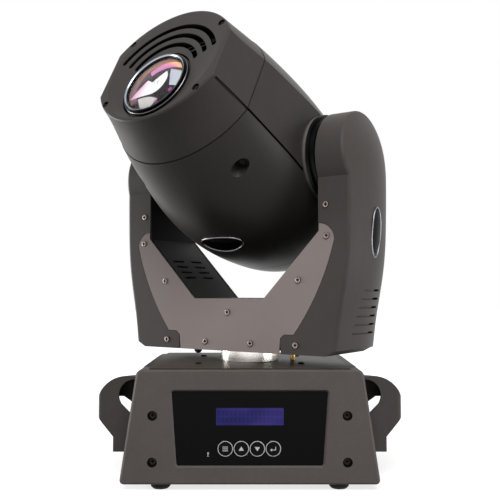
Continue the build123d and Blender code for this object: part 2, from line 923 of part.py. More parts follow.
with BuildPart() as base_screws:
    for face_offset in (base_depth / 2, -base_depth / 2):
        add(screw_set(face_offset, bezel_screw_places, screw_well_depth, bezel_screw_shank))
    with BuildSketch(Plane.XY.offset(cover_top)):
        with Locations(*cover_screw_places):
            Circle(screw_head_radius)
    extrude(amount=screw_head_height)
    with BuildSketch(Plane.XY.offset(cover_top)):
        with Locations(*cover_screw_places):
            Circle(screw_radius)
    extrude(amount=-cover_screw_shank)

with BuildPart() as yoke_screws:
    for face_offset in (yoke_half_depth, -yoke_half_depth):
        add(screw_set(face_offset, plate_screw_places, 0, yoke_screw_shank))
        add(screw_set(face_offset, arm_screw_places, 0, yoke_screw_shank))


def stepper(face, shaft_hole):
    """A square stepper motor standing behind its mounting face, hollow where its shaft turns."""
    with BuildPart() as motor:
        with BuildSketch(face):
            Rectangle(motor_side, motor_side)
        extrude(amount=motor_length)
        chamfer(motor.edges().filter_by(Axis(face.origin, face.z_dir)), 4)
        with BuildSketch(face):
            Circle(motor_shaft_radius + running_gap)
        extrude(amount=shaft_hole, mode=Mode.SUBTRACT)
    return motor.part


shaft_seat = 12.0
pan_motor_face = Plane(origin=(-pan_motor_x, 0, frame_top + motor_length), z_dir=(0, 0, -1))

with BuildPart() as pan_motor:
    add(stepper(pan_motor_face, shaft_seat))

tilt_motor_face = Plane(origin=(upright_x, 0, tilt_motor_z), z_dir=(-1, 0, 0))

with BuildPart() as tilt_motor:
    add(stepper(tilt_motor_face, shaft_seat))

tilt_belt_x = upright_x + upright_sheet + 4.5


def pinion(level, shaft_start, shaft_end):
    """A flanged belt pinion on its motor's shaft."""
    with BuildPart() as small_pulley:
        with BuildSketch(level):
            add(pulley_face(pinion_teeth, 0))
        extrude(amount=belt_width)
        for offset_to_flange in (-1.0, belt_width):
            with BuildSketch(level.offset(offset_to_flange)):
                Circle(pitch_radius(pinion_teeth) + 2.2)
            extrude(amount=1.0)
        with BuildSketch(level.offset(shaft_start)):
            Circle(motor_shaft_radius)
        extrude(amount=shaft_end - shaft_start)
    return small_pulley.part


pan_level = Plane(origin=(-pan_motor_x, 0, pulley_z), z_dir=(0, 0, 1))
tilt_level = Plane(origin=(tilt_belt_x, 0, tilt_motor_z), x_dir=(0, 1, 0), z_dir=(1, 0, 0))

with BuildPart() as pan_pinion:
    add(pinion(pan_level, frame_top + motor_length - shaft_seat + 1 - pulley_z, belt_width + 1.5))

with BuildPart() as tilt_pinion:
    add(pinion(tilt_level, upright_x - shaft_seat + 1 - tilt_belt_x, belt_width + 1.5))


def belt_face(centre_distance, large_teeth):
    """A belt's loop from a large pulley at the origin to a pinion along +X."""
    with BuildSketch() as face:
        with BuildSketch(mode=Mode.PRIVATE) as inside:
            Circle(pitch_radius(large_teeth) + belt_gap)
            with Locations((centre_distance, 0)):
                Circle(pitch_radius(pinion_teeth) + belt_gap)
            make_hull()
        add(inside.sketch)
        offset(amount=belt_thickness)
        add(inside.sketch, mode=Mode.SUBTRACT)
    return face.sketch


belt_play = 0.3

with BuildPart() as pan_belt:
    with BuildSketch(Plane(origin=(0, 0, pulley_z + belt_play), x_dir=(-1, 0, 0), z_dir=(0, 0, 1))):
        add(belt_face(pan_motor_x, pan_teeth))
    extrude(amount=belt_width - 2 * belt_play)

with BuildPart() as tilt_belt:
    with BuildSketch(Plane(origin=(tilt_belt_x + belt_play, 0, tilt_height), x_dir=(0, 0, -1), z_dir=(1, 0, 0))):
        add(belt_face(tilt_height - tilt_motor_z, tilt_teeth))
    extrude(amount=belt_width - 2 * belt_play)

tilt_bearing_width = 7.0

with BuildPart() as tilt_bearings:
    for side in (-1, 1):
        bearing_x = side * (upright_x + upright_sheet / 2)
        with BuildSketch(Plane.YZ.offset(bearing_x - tilt_bearing_width / 2)):
            with Locations((0, tilt_height)):
                Circle(tilt_bearing_radius)
                Circle(tilt_shaft_radius + running_gap, mode=Mode.SUBTRACT)
        extrude(amount=tilt_bearing_width)

driver_board_width = 56.0
driver_board_height = 100.0
driver_board_z = 220.0
standoff_length = 6.0
standoff_radius = 3.0
standoff_margin = 6.0

with BuildPart() as driver_board:
    with BuildSketch(Plane.YZ.offset(-upright_x - upright_sheet - standoff_length)):
        with Locations((0, driver_board_z)):
            Rectangle(driver_board_width, driver_board_height)
    extrude(amount=-board_thickness)
    with BuildSketch(Plane.YZ.offset(-upright_x - upright_sheet)):
        with Locations((0, driver_board_z)):
            across = driver_board_width - 2 * standoff_margin
            with GridLocations(across, driver_board_height - 2 * standoff_margin, 2, 2):
                Circle(standoff_radius)
    extrude(amount=-standoff_length)

bumper_place = (-44.0, -33.5)
bumper_radius = 4.2
bumper_drop = 4.5
bumper_edge_drop = 1.0

with BuildPart() as yoke_bumper:
    bumper_middle, bumper_out = bumper_place[0], bumper_place[0] + bumper_radius
    with BuildSketch(Plane.XZ.offset(-bumper_place[1])):
        with BuildLine():
            Polyline(
                (bumper_middle, yoke_bottom_z - bumper_drop),
                (bumper_middle, frame_z),
                (bumper_out, frame_z),
                (bumper_out, yoke_bottom_z - bumper_edge_drop),
            )
            TangentArc(
                (bumper_middle, yoke_bottom_z - bumper_drop),
                (bumper_out, yoke_bottom_z - bumper_edge_drop),
                tangent=(1, 0),
            )
        make_face()
    revolve(axis=Axis((*bumper_place, 0), (0, 0, 1)))

# ======================================================================================== head
# Sections across the beam: place along it, half-width of the flat sides, rise of the upper arc,
# drop of the lower arc and half-height of the flats.
head_sections = (
    (-128, 50, 50, 50, 24),
    (-120, 60, 57, 58, 28),
    (-100, 75, 70, 73, 33),
    (-72, 87, 80, 85, 37),
    (-40, 92.5, 86, 94.5, 37.5),
    (0, 94, 89, 101, 36.5),
    (40, 91.8, 89, 100, 34.5),
    (80, 86.2, 85.5, 92.7, 32),
    (119, 79.6, 78.5, 81.5, 29.4),
    (163.3, 69.5, 67.9, 67.5, 27.5),
)


def head_form(inset, set_back):
    """The head's whole outside as one loft, shrunk all round and its face set back."""
    with BuildPart() as form:
        for c, side, rise, drop, flat in head_sections:
            if c == rear_c:
                c += inset
            if c == face_c:
                c -= set_back
            with BuildSketch(Plane.XY.offset(c)):
                with BuildLine():
                    ThreePointArc((side - inset, flat), (0, rise - inset), (inset - side, flat))
                    Line((inset - side, flat), (inset - side, -flat))
                    ThreePointArc((inset - side, -flat), (0, inset - drop), (side - inset, -flat))
                    Line((side - inset, -flat), (side - inset, flat))
                make_face()
        loft()
    return form.part


head_skin = head_form(0, 0)
head_inside = head_form(head_wall, head_wall + dish_depth)
groove_bed = head_form(groove_depth, 0)

with BuildPart() as head_shell:
    add(head_skin)
    add(head_inside, mode=Mode.SUBTRACT)
    for side in (-1, 1):
        with BuildSketch(Plane.YZ.offset(side * (side_collar_inner - chassis_sheet - 1))):
            Circle(side_collar_radius + seam_gap)
        extrude(amount=side * 30, mode=Mode.SUBTRACT)

# The side shells part along a plane that follows the flats' lower edges, at the bottom of a groove
# that the front cap carries on.
part_rise = 0.06
part_level = -29.5
shell_parting = Plane(origin=(0, part_level, cap_seam_c), x_dir=(1, 0, 0), z_dir=(0, 1, -part_rise))

with BuildPart() as side_grooves:
    with BuildSketch(shell_parting.offset(-groove_width / 2)):
        groove_front = face_c - face_edge_radius - groove_width / 2 - cap_seam_c
        with Locations((-side_collar_out, -groove_front), (side_collar_out, -groove_front)):
            Rectangle(side_collar_out * 0.7, 2 * face_c, align=(Align.CENTER, Align.MIN))
    extrude(amount=groove_width)
    add(groove_bed, mode=Mode.SUBTRACT)

with BuildPart() as face_dish:
    with BuildSketch(Plane.XY.offset(face_c - dish_depth)):
        with Locations((0, lens_offset)):
            Circle(lens_opening_radius)
    with BuildSketch(Plane.XY.offset(face_c)):
        Circle(dish_radius)
    loft()

notch_places = [(a, b) for a in (-notch_a, notch_a) for b in (-notch_b, notch_b)]
notch_depth = 3.0

with BuildPart() as front_cap:
    add(head_form(cap_step, 0))
    fillet(front_cap.faces().sort_by(Axis.Z)[-1].edges(), face_edge_radius)
    add(head_inside, mode=Mode.SUBTRACT)
    split(bisect_by=Plane.XY.offset(cap_seam_c), keep=Keep.TOP)
    add(face_dish.part, mode=Mode.SUBTRACT)
    with BuildSketch(Plane.XY.offset(face_c)):
        with Locations((0, lens_offset)):
            Circle(lens_opening_radius)
        for radius in slot_radii:
            centre_line = CenterArc((0, slot_centre), radius, 90 - slot_half_angle, 2 * slot_half_angle)
            SlotArc(centre_line, slot_width)
    extrude(amount=-12, mode=Mode.SUBTRACT)
    with BuildSketch(Plane.XY.offset(face_c - dish_depth - head_wall)):
        with Locations(Location(web_place, web_angle)):
            Rectangle(web_length, web_width)
    extrude(amount=web_height)
    with BuildSketch(Plane.XY.offset(face_c)):
        with Locations(*notch_places):
            Circle(notch_radius)
    extrude(amount=-notch_depth, mode=Mode.SUBTRACT)
    with BuildSketch(Plane.XY.offset(face_c)):
        with Locations(*notch_places):
            Circle(screw_radius + screw_gap)
    extrude(amount=-12, mode=Mode.SUBTRACT)
    add(side_grooves.part, mode=Mode.SUBTRACT)

recess_places = [(-recess_a, recess_c), (recess_a, recess_c)]

with BuildPart() as recess_cups:
    with BuildSketch(Plane.XZ.offset(recess_floor - 2.5)):
        with Locations(*recess_places):
            Circle(recess_radius + 2.2)
    extrude(amount=60)
    add(head_skin, mode=Mode.INTERSECT)

with BuildPart() as body_shell:
    add(head_shell.part)
    split(bisect_by=Plane.XY.offset(cap_seam_c - cap_gap), keep=Keep.BOTTOM)
    split(bisect_by=Plane.XY.offset(rear_seam_c), keep=Keep.TOP)

with BuildPart() as upper_shell:
    add(body_shell.part)
    add(side_grooves.part, mode=Mode.SUBTRACT)
    split(bisect_by=shell_parting.offset(seam_gap / 2), keep=Keep.TOP)

with BuildPart() as lower_shell:
    add(body_shell.part)
    add(side_grooves.part, mode=Mode.SUBTRACT)
    split(bisect_by=shell_parting.offset(-seam_gap / 2), keep=Keep.BOTTOM)
    add(recess_cups.part)
    with BuildSketch(Plane.XZ.offset(recess_floor)):
        with Locations(*recess_places):
            Circle(recess_radius)
    extrude(amount=60, mode=Mode.SUBTRACT)
    with BuildSketch(Plane.XZ.offset(recess_floor - 10)):
        with Locations(*recess_places):
            Circle(screw_radius + screw_gap)
    extrude(amount=20, mode=Mode.SUBTRACT)

with BuildPart() as rear_cap:
    add(head_shell.part)
    split(bisect_by=Plane.XY.offset(rear_seam_c - seam_gap), keep=Keep.BOTTOM)
    with BuildSketch(Plane.XY.offset(rear_c)):
        with Locations((0, fan_b)):
            with GridLocations(0, rear_slot_pitch, 1, rear_slots):
                SlotOverall(64, rear_slot_width)
    extrude(amount=2 * head_wall, both=True, mode=Mode.SUBTRACT)
    with BuildSketch(Plane.YZ.offset(-120)):
        with Locations((0, (rear_seam_c + rear_c) / 2 + 6)):
            with GridLocations(0, rear_slot_pitch, 1, 4):
                SlotOverall(42, rear_slot_width)
    extrude(amount=240, mode=Mode.SUBTRACT)

with BuildPart() as tilt_collars:
    for side in (-1, 1):
        outward = Plane(origin=(0, 0, 0), x_dir=(0, 1, 0), z_dir=(side, 0, 0))
        with BuildSketch(outward.offset(side_collar_inner)):
            Circle(side_collar_radius)
        extrude(amount=side_collar_mid - side_collar_inner)
        with BuildSketch(outward.offset(side_collar_mid)):
            Circle(side_collar_step_radius)
        extrude(amount=side_collar_out - side_collar_mid)
        with BuildSketch(outward.offset(side_collar_inner)):
            Circle(shaft_flange_radius)
        extrude(amount=shaft_flange, mode=Mode.SUBTRACT)
        with BuildSketch(outward.offset(side_collar_inner)):
            Circle(tilt_shaft_radius)
        extrude(amount=40, mode=Mode.SUBTRACT)

with BuildPart() as tilt_shafts:
    for side in (-1, 1):
        outward = Plane(origin=(0, 0, 0), x_dir=(0, 1, 0), z_dir=(side, 0, 0))
        with BuildSketch(outward.offset(side_collar_inner)):
            Circle(shaft_flange_radius)
        extrude(amount=shaft_flange)
        with BuildSketch(outward.offset(side_collar_inner)):
            Circle(tilt_shaft_radius)
        extrude(amount=tilt_shaft_end - side_collar_inner)
        with BuildSketch(outward.offset(side_collar_inner)):
            Circle(tilt_shaft_bore)
        extrude(amount=60, mode=Mode.SUBTRACT)

with BuildPart() as tilt_pulley:
    with BuildSketch(Plane.YZ.offset(tilt_belt_x)):
        add(pulley_face(tilt_teeth, tilt_shaft_radius))
    extrude(amount=belt_width)
    with BuildSketch(Plane.YZ.offset(tilt_belt_x)):
        Circle(pitch_radius(tilt_teeth) + 2)
        Circle(tilt_shaft_radius, mode=Mode.SUBTRACT)
    extrude(amount=-1)

# Optics: a chassis of two side plates and three cross plates on four posts.
lamp_level = -22.0
wheel_level = 32.0
lens_level = 78.0
color_level = 14.0
gobo_level = 24.0
post_places = [(-44, -38), (-44, 20), (44, -38), (44, 20)]
rod_x = 34.0
carriage_level = 47.0
carriage_thickness = 6.0
actuator_place = (30, -6)
rod_radius = 3.0
post_radius = 3.5
spindle_radius = 1.5
spindle_hole_radius = 3.0
beam_hole_radius = 13.0
cheek_height = 68.0
cheek_length = 126.0
cheek_middle_c = 3.0
cross_plate_height = 82.0
cross_plate_b = -1.0
lens_plate_width = 100.0
lens_plate_height = 90.0
lens_plate_b = -17.0

with BuildPart() as head_chassis:
    for side in (-1, 1):
        with BuildSketch(Plane.YZ.offset(side * (chassis_half - chassis_sheet / 2) - chassis_sheet / 2)):
            with Locations((0, cheek_middle_c)):
                Rectangle(cheek_height, cheek_length)
            Circle(tilt_shaft_bore, mode=Mode.SUBTRACT)
        extrude(amount=chassis_sheet)
    for level in (lamp_level, wheel_level):
        with BuildSketch(Plane.XY.offset(level)):
            with Locations((0, cross_plate_b)):
                Rectangle(2 * chassis_half, cross_plate_height)
            if level == wheel_level:
                with Locations((0, lens_offset)):
                    Circle(beam_hole_radius, mode=Mode.SUBTRACT)
                with Locations((0, wheel_centre)):
                    Circle(spindle_hole_radius, mode=Mode.SUBTRACT)
        extrude(amount=chassis_sheet)
    with BuildSketch(Plane.XY.offset(wheel_level + chassis_sheet)):
        with Locations(*post_places):
            Circle(post_radius)
        with Locations((-rod_x, lens_offset), (rod_x, lens_offset)):
            Circle(rod_radius)
    extrude(amount=lens_level - wheel_level - chassis_sheet)
    with BuildSketch(Plane.XY.offset(lens_level)):
        with Locations((0, lens_plate_b)):
            Rectangle(lens_plate_width, lens_plate_height)
        with Locations((0, lens_offset)):
            Circle(barrel_bore, mode=Mode.SUBTRACT)
        with Locations(actuator_place):
            Circle(spindle_hole_radius, mode=Mode.SUBTRACT)
    extrude(amount=chassis_sheet)

lens_plane = Plane(origin=(0, lens_offset, 0), x_dir=(1, 0, 0), z_dir=(0, -1, 0))
lens_axis = Axis((0, lens_offset, 0), (0, 0, 1))

with BuildPart() as lens_barrel:
    with BuildSketch(lens_plane):
        with BuildLine():
            Polyline(
                (barrel_bore, lens_level + chassis_sheet),
                (barrel_radius, lens_level + chassis_sheet),
                (barrel_radius, rim_c - barrel_step - lip_edge),
                (barrel_step_radius, rim_c - barrel_step),
                (barrel_step_radius, rim_c - lip_height - lip_edge),
                (barrel_step_radius - lip_edge, rim_c - lip_height),
                (lip_radius, rim_c - lip_height),
                (lip_radius, rim_c - lip_edge),
                (lip_radius - lip_edge, rim_c),
                (glass_radius + lip_edge, rim_c),
                (glass_radius, rim_c - glass_edge_drop),
                (glass_radius, rim_c - glass_seat),
                (barrel_bore, rim_c - glass_seat),
                close=True,
            )
        make_face()
    revolve(axis=lens_axis)

with BuildPart() as front_lens:
    with BuildSketch(lens_plane):
        with BuildLine():
            Polyline(
                (0, rim_c + glass_rise),
                (0, rim_c - glass_seat - glass_thickness),
                (barrel_bore, rim_c - glass_seat - glass_thickness),
                (barrel_bore, rim_c - glass_seat),
                (glass_radius - glass_gap, rim_c - glass_seat),
                (glass_radius - glass_gap, rim_c - glass_edge_drop),
            )
            TangentArc(
                (0, rim_c + glass_rise),
                (glass_radius - glass_gap, rim_c - glass_edge_drop),
                tangent=(1, 0),
            )
        make_face()
    revolve(axis=lens_axis)

carriage_lug = 5.5
carriage_height = 43.0
carriage_corner = 4.0
actuator_reach = 27.0

with BuildPart() as focus_carriage:
    with BuildSketch(Plane.XY.offset(carriage_level)):
        with Locations((0, lens_offset)):
            RectangleRounded(2 * (rod_x + carriage_lug), carriage_height, carriage_corner)
            Circle(focus_lens_radius, mode=Mode.SUBTRACT)
        with Locations((-rod_x, lens_offset), (rod_x, lens_offset)):
            Circle(rod_radius + running_gap, mode=Mode.SUBTRACT)
    extrude(amount=carriage_thickness)
    with BuildSketch(Plane.XY.offset(carriage_level)):
        with Locations(actuator_place):
            Circle(spindle_radius)
    extrude(amount=actuator_reach)

lens_bulge = 4.0
lens_edge = 1.4

with BuildPart() as focus_lens:
    with BuildSketch(lens_plane):
        with BuildLine():
            lens_middle = carriage_level + carriage_thickness / 2
            front_edge = (focus_lens_radius, lens_middle + lens_edge)
            back_edge = (focus_lens_radius, lens_middle - lens_edge)
            Line((0, lens_middle - lens_bulge), (0, lens_middle + lens_bulge))
            TangentArc((0, lens_middle + lens_bulge), front_edge, tangent=(1, 0))
            Line(front_edge, back_edge)
            TangentArc((0, lens_middle - lens_bulge), back_edge, tangent=(1, 0))
        make_face()
    revolve(axis=lens_axis)

motor_levels = (
    (0, wheel_centre, lamp_level + chassis_sheet),
    (0, wheel_centre, wheel_level + chassis_sheet),
    (*actuator_place, lens_level - optics_motor_length),
)

with BuildPart() as optics_motors:
    for a, b, level in motor_levels:
        with BuildSketch(Plane.XY.offset(level)):
            with Locations((a, b)):
                Circle(optics_motor_radius)
                Circle(spindle_radius + running_gap, mode=Mode.SUBTRACT)
        extrude(amount=optics_motor_length)


wheel_boss_radius = 6.0
wheel_boss_rise = 2.0
color_opening = 10.5
gobo_opening = 11.5
color_spindle_low = -16.0
gobo_spindle_high = 50.0


def filter_wheel(level, spindle_low, spindle_high, opening):
    """A filter wheel on its motor's spindle: a disc with one opening for each filter."""
    with BuildPart() as wheel:
        with BuildSketch(Plane.XY.offset(level)):
            with Locations((0, wheel_centre)):
                Circle(wheel_radius)
                with PolarLocations(wheel_orbit, filters, start_angle=-90):
                    Circle(opening, mode=Mode.SUBTRACT)
        extrude(amount=wheel_sheet)
        with BuildSketch(Plane.XY.offset(spindle_low)):
            with Locations((0, wheel_centre)):
                Circle(spindle_radius)
        extrude(amount=spindle_high - spindle_low)
        with BuildSketch(Plane.XY.offset(level - wheel_boss_rise)):
            with Locations((0, wheel_centre)):
                Circle(wheel_boss_radius)
        extrude(amount=wheel_sheet + 2 * wheel_boss_rise)
    return wheel


color_wheel = filter_wheel(color_level, color_spindle_low, color_level + 2 * wheel_boss_rise, color_opening)
gobo_wheel = filter_wheel(gobo_level, gobo_level - wheel_boss_rise, gobo_spindle_high, gobo_opening)

led_base = (36.0, 34.0)
led_base_corner = 3.0
led_base_thickness = 5.0
collimator_radius = 15.0
collimator_length = 16.0
collimator_taper = 8.0

with BuildPart() as led_module:
    with BuildSketch(Plane.XY.offset(lamp_level + chassis_sheet)):
        with Locations((0, lens_offset)):
            RectangleRounded(*led_base, led_base_corner)
    extrude(amount=led_base_thickness)
    with BuildSketch(Plane.XY.offset(lamp_level + chassis_sheet + led_base_thickness)):
        with Locations((0, lens_offset)):
            Circle(collimator_radius)
    extrude(amount=collimator_length, taper=collimator_taper)

sink_height = 94.0
sink_base = 8.0

with BuildPart() as heat_sink:
    with BuildSketch(Plane.XY.offset(lamp_level)):
        with Locations((0, fan_b)):
            Rectangle(fin_pitch * (fin_count - 1) + fin_sheet, sink_height)
    extrude(amount=-sink_base)
    with BuildSketch(Plane.XY.offset(lamp_level - sink_base)):
        with Locations((0, fan_b)):
            with GridLocations(fin_pitch, 0, fin_count, 1):
                Rectangle(fin_sheet, sink_height)
    extrude(amount=rear_seam_c - lamp_level + sink_base)

fan_hole_reach = 41.0
fan_hole_radius = 2.0
fan_corner = 5.0
fan_radius = 42.5
fan_motor_radius = 16.0
fan_strut = 5.0
fan_strut_depth = 2.0
fan_pin_radius = 2.5
fan_corners = (-fan_hole_reach, fan_hole_reach)
fan_places = [(a, fan_b + b) for a in fan_corners for b in fan_corners]

with BuildPart() as fan_housing:
    with BuildSketch(Plane.XY.offset(rear_seam_c)):
        with Locations((0, fan_b)):
            RectangleRounded(fan_side, fan_side, fan_corner)
            Circle(fan_radius, mode=Mode.SUBTRACT)
        with Locations(*fan_places):
            Circle(fan_hole_radius, mode=Mode.SUBTRACT)
    extrude(amount=-fan_depth)
    with BuildSketch(Plane.XY.offset(rear_seam_c - fan_depth)):
        with Locations((0, fan_b)):
            Circle(fan_motor_radius)
            Rectangle(2 * fan_radius + 1, fan_strut)
            Rectangle(fan_strut, 2 * fan_radius + 1)
    extrude(amount=fan_strut_depth)
    with BuildSketch(Plane.XY.offset(rear_seam_c - fan_depth)):
        with Locations((0, fan_b)):
            Circle(fan_pin_radius)
    extrude(amount=fan_depth - 2 * fan_strut_depth)

with BuildPart() as fan_rotor:
    with BuildSketch(Plane.XY.offset(rear_seam_c - 3)):
        with Locations((0, fan_b)):
            Circle(17)
    extrude(amount=-13)
    for blade in range(fan_blades):
        turn = 360 / fan_blades * blade
        blade_plane = Plane(
            origin=(16 * cos(radians(turn)), fan_b + 16 * sin(radians(turn)), rear_seam_c - 9.5),
            x_dir=(-sin(radians(turn)), cos(radians(turn)), 0.45),
            z_dir=(cos(radians(turn)), sin(radians(turn)), 0),
        )
        with BuildSketch(blade_plane):
            Rectangle(22, 1.6)
        extrude(amount=fan_radius - 17.5)
    with BuildSketch(Plane.XY.offset(rear_seam_c - 20)):
        with Locations((0, fan_b)):
            Circle(fan_pin_radius + running_gap)
    extrude(amount=40, mode=Mode.SUBTRACT)

with BuildPart() as head_screws:
    with BuildSketch(Plane.XY.offset(face_c - notch_depth)):
        with Locations(*notch_places):
            Circle(screw_head_radius)
    extrude(amount=screw_head_height)
    with BuildSketch(Plane.XY.offset(face_c - notch_depth)):
        with Locations(*notch_places):
            Circle(screw_radius)
    extrude(amount=-8)
    with BuildSketch(Plane.XZ.offset(recess_floor)):
        with Locations(*recess_places):
            Circle(screw_head_radius)
    extrude(amount=screw_head_height)
    with BuildSketch(Plane.XZ.offset(recess_floor)):
        with Locations(*recess_places):
            Circle(screw_radius)
    extrude(amount=-8)


base_pieces = {
    "base_tray": base_tray,
    "front_bezel": front_bezel,
    "rear_bezel": rear_bezel,
    "left_handle": left_handle,
    "right_handle": right_handle,
    "top_cover": top_cover,
    "rubber_feet": rubber_feet,
    "control_panel": control_panel,
    "lcd_module": lcd_module,
    "control_board": control_board,
    "mode_button": mode_button,
    "up_button": up_button,
    "down_button": down_button,
    "enter_button": enter_button,
    "connector_panel": connector_panel,
    "power_inlet": power_inlet,
    "dmx_sockets": dmx_sockets,
    "power_supply": power_supply,
    "pan_hub": pan_hub,
    "pan_pulley": pan_pulley,
    "pan_stop_pin": pan_stop_pin,
    "base_screws": base_screws,
}
yoke_pieces = {
    "pan_bearing": pan_bearing,
    "pan_collar": pan_collar,
    "yoke_frame": yoke_frame,
    "front_yoke_plate": front_yoke_plate,
    "rear_yoke_plate": rear_yoke_plate,
    "inner_cover": inner_cover,
    "left_arm_cover": left_arm_cover,
    "right_arm_cover": right_arm_cover,
    "pan_motor": pan_motor,
    "pan_pinion": pan_pinion,
    "pan_belt": pan_belt,
    "tilt_motor": tilt_motor,
    "tilt_pinion": tilt_pinion,
    "tilt_belt": tilt_belt,
    "tilt_bearings": tilt_bearings,
    "driver_board": driver_board,
    "yoke_bumper": yoke_bumper,
    "yoke_screws": yoke_screws,
}
head_pieces = {
    "front_cap": front_cap,
    "upper_shell": upper_shell,
    "lower_shell": lower_shell,
    "rear_cap": rear_cap,
    "tilt_collars": tilt_collars,
    "tilt_shafts": tilt_shafts,
    "tilt_pulley": tilt_pulley,
    "head_chassis": head_chassis,
    "lens_barrel": lens_barrel,
    "front_lens": front_lens,
    "focus_carriage": focus_carriage,
    "focus_lens": focus_lens,
    "optics_motors": optics_motors,
    "color_wheel": color_wheel,
    "gobo_wheel": gobo_wheel,
    "led_module": led_module,
    "heat_sink": heat_sink,
    "fan_housing": fan_housing,
    "fan_rotor": fan_rotor,
    "head_screws": head_screws,
}

for pieces, place in ((base_pieces, base_place), (yoke_pieces, yoke_place), (head_pieces, head_place)):
    for label, piece in pieces.items():
        save(piece, label, place)
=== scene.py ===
import json
import math

import bpy
import numpy as np
from mathutils import Matrix, Vector


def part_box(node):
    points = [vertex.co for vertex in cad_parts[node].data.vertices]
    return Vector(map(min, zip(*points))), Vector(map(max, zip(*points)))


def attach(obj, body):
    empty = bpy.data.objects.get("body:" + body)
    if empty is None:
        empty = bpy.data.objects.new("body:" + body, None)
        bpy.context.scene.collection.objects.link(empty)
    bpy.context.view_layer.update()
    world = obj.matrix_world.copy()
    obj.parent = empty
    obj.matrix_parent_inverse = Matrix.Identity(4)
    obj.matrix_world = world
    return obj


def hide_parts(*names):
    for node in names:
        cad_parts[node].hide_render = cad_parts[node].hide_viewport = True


bl_info = {
    "name": "Moving Head Light",
    "version": (1, 0, 0),
    "blender": (4, 5, 0),
    "location": "View3D > Sidebar > Stage Light",
    "description": "Finishes and fine pieces of a moving head stage light around its CAD frame",
    "category": "Object",
}

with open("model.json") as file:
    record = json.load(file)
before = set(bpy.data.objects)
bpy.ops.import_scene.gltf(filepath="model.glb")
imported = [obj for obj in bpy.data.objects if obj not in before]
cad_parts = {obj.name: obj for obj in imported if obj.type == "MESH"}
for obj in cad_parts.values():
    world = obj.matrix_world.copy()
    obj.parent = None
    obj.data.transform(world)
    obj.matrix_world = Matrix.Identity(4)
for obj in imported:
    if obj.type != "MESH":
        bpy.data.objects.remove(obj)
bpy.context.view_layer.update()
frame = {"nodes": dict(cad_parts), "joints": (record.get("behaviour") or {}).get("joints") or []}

MM = 0.001
UP, FRONT = (0, 0, 1), (0, -1, 0)
WHITE, BLACK = (1.0, 1.0, 1.0, 1.0), (0.0, 0.0, 0.0, 1.0)

# Sizes and places on the object, in millimetres
WELLS_ACROSS, WELL_HEIGHTS, WELL_FLOOR = 92.6, (20.8, 64.5), 86.0
COVER_TOP, COVER_SCREWS = 109.2, (52.2, 43.0)
PLATE_FACE, MIDDLE_SCREW = 40.3, (0, 160.8)
ARM_SCREWS = ((117, 235.5), (85.3, 193.4), (28.8, 129.9), (116.3, 265.3), (82.1, 130.1))
CAP_FACE, CAP_SCREWS = 160.3, (55.3, 38.9)
SHELL_SCREWS = (62.0, -60.0, 82.0)
SCREW_RADIUS, SCREW_CROWN = 3.2, 1.4
PANEL_FACE, KEY_PITCH, KEY_HEIGHT, KEYS_MIDDLE = -89.0, 15.2, 33.2, -0.5
PRINT, KEY_AHEAD = 0.05, 0.8
LENS_DROP = 22.5

# -------------------------------------------------- places


def joint_named(name):
    """One joint of the frame's record, by name."""
    return next(joint for joint in frame["joints"] if joint["name"] == name)


def axes_matrix(x_axis, z_axis, origin):
    """A placement whose X and Z axes are given, with Y square to both."""
    x_axis = Vector(x_axis).normalized()
    z_axis = Vector(z_axis).normalized()
    y_axis = z_axis.cross(x_axis).normalized()
    rotation = Matrix((x_axis, y_axis, z_axis)).transposed()
    return Matrix.Translation(Vector(origin)) @ rotation.to_4x4()


tilt_axis = Vector(joint_named("tilt")["axis"])
tilt_centre = Vector(joint_named("tilt")["pos_m"])
beam_axis = Vector(joint_named("color_wheel_spin")["axis"])
BASE = Matrix.Identity(4)
YOKE = axes_matrix(tilt_axis, (0, 0, 1), (0, 0, 0))
HEAD = axes_matrix(tilt_axis, beam_axis, tilt_centre)


def placed(matrix, points):
    """Points given in millimetres in a local placement, as metres in the object's frame."""
    rotation = np.array(matrix.to_3x3())
    return np.asarray(points, float) * MM @ rotation.T + np.array(matrix.translation)


# -------------------------------------------------- meshes


def add_mesh(name, points, faces, body, material, smooth=True, shade=None):
    """Make one piece from whole arrays of points and faces, and let it ride on a body. Shade gives each point
    a number, for painted shade."""
    faces = np.asarray(faces)
    mesh = bpy.data.meshes.new(name)
    mesh.vertices.add(len(points))
    mesh.vertices.foreach_set("co", np.asarray(points, np.float32).ravel())
    corners = faces.shape[1]
    mesh.loops.add(faces.size)
    mesh.loops.foreach_set("vertex_index", faces.ravel().astype(np.int32))
    mesh.polygons.add(len(faces))
    mesh.polygons.foreach_set("loop_start", np.arange(0, faces.size, corners, dtype=np.int32))
    mesh.polygons.foreach_set("use_smooth", np.full(len(faces), smooth))
    mesh.update(calc_edges=True)
    mesh.validate()
    if shade is not None:
        values = mesh.attributes.new("shade", "FLOAT", "POINT").data
        values.foreach_set("value", np.asarray(shade, np.float32))
    piece = bpy.data.objects.new(name, mesh)
    bpy.context.scene.collection.objects.link(piece)
    mesh.materials.append(material)
    if body:
        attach(piece, body)
    return piece


def grid_faces(rows, columns, wrap_rows=False, wrap_columns=False):
    """Quads of a grid of points, row by row; either way may close on itself."""
    row = np.arange(rows if wrap_rows else rows - 1)
    column = np.arange(columns if wrap_columns else columns - 1)
    row, column = np.meshgrid(row, column, indexing="ij")
    below = (row + 1) % rows
    beside = (column + 1) % columns
    quads = np.stack([
        row * columns + column,
        row * columns + beside,
        below * columns + beside,
        below * columns + column,
    ], axis=-1)
    return quads.reshape(-1, 4)


def joined(parts):
    """Several (points, faces) pairs as one pair."""
    points, faces, count = [], [], 0
    for part_points, part_faces in parts:
        points.append(part_points)
        faces.append(np.asarray(part_faces) + count)
        count += len(part_points)
    return np.concatenate(points), np.concatenate(faces)


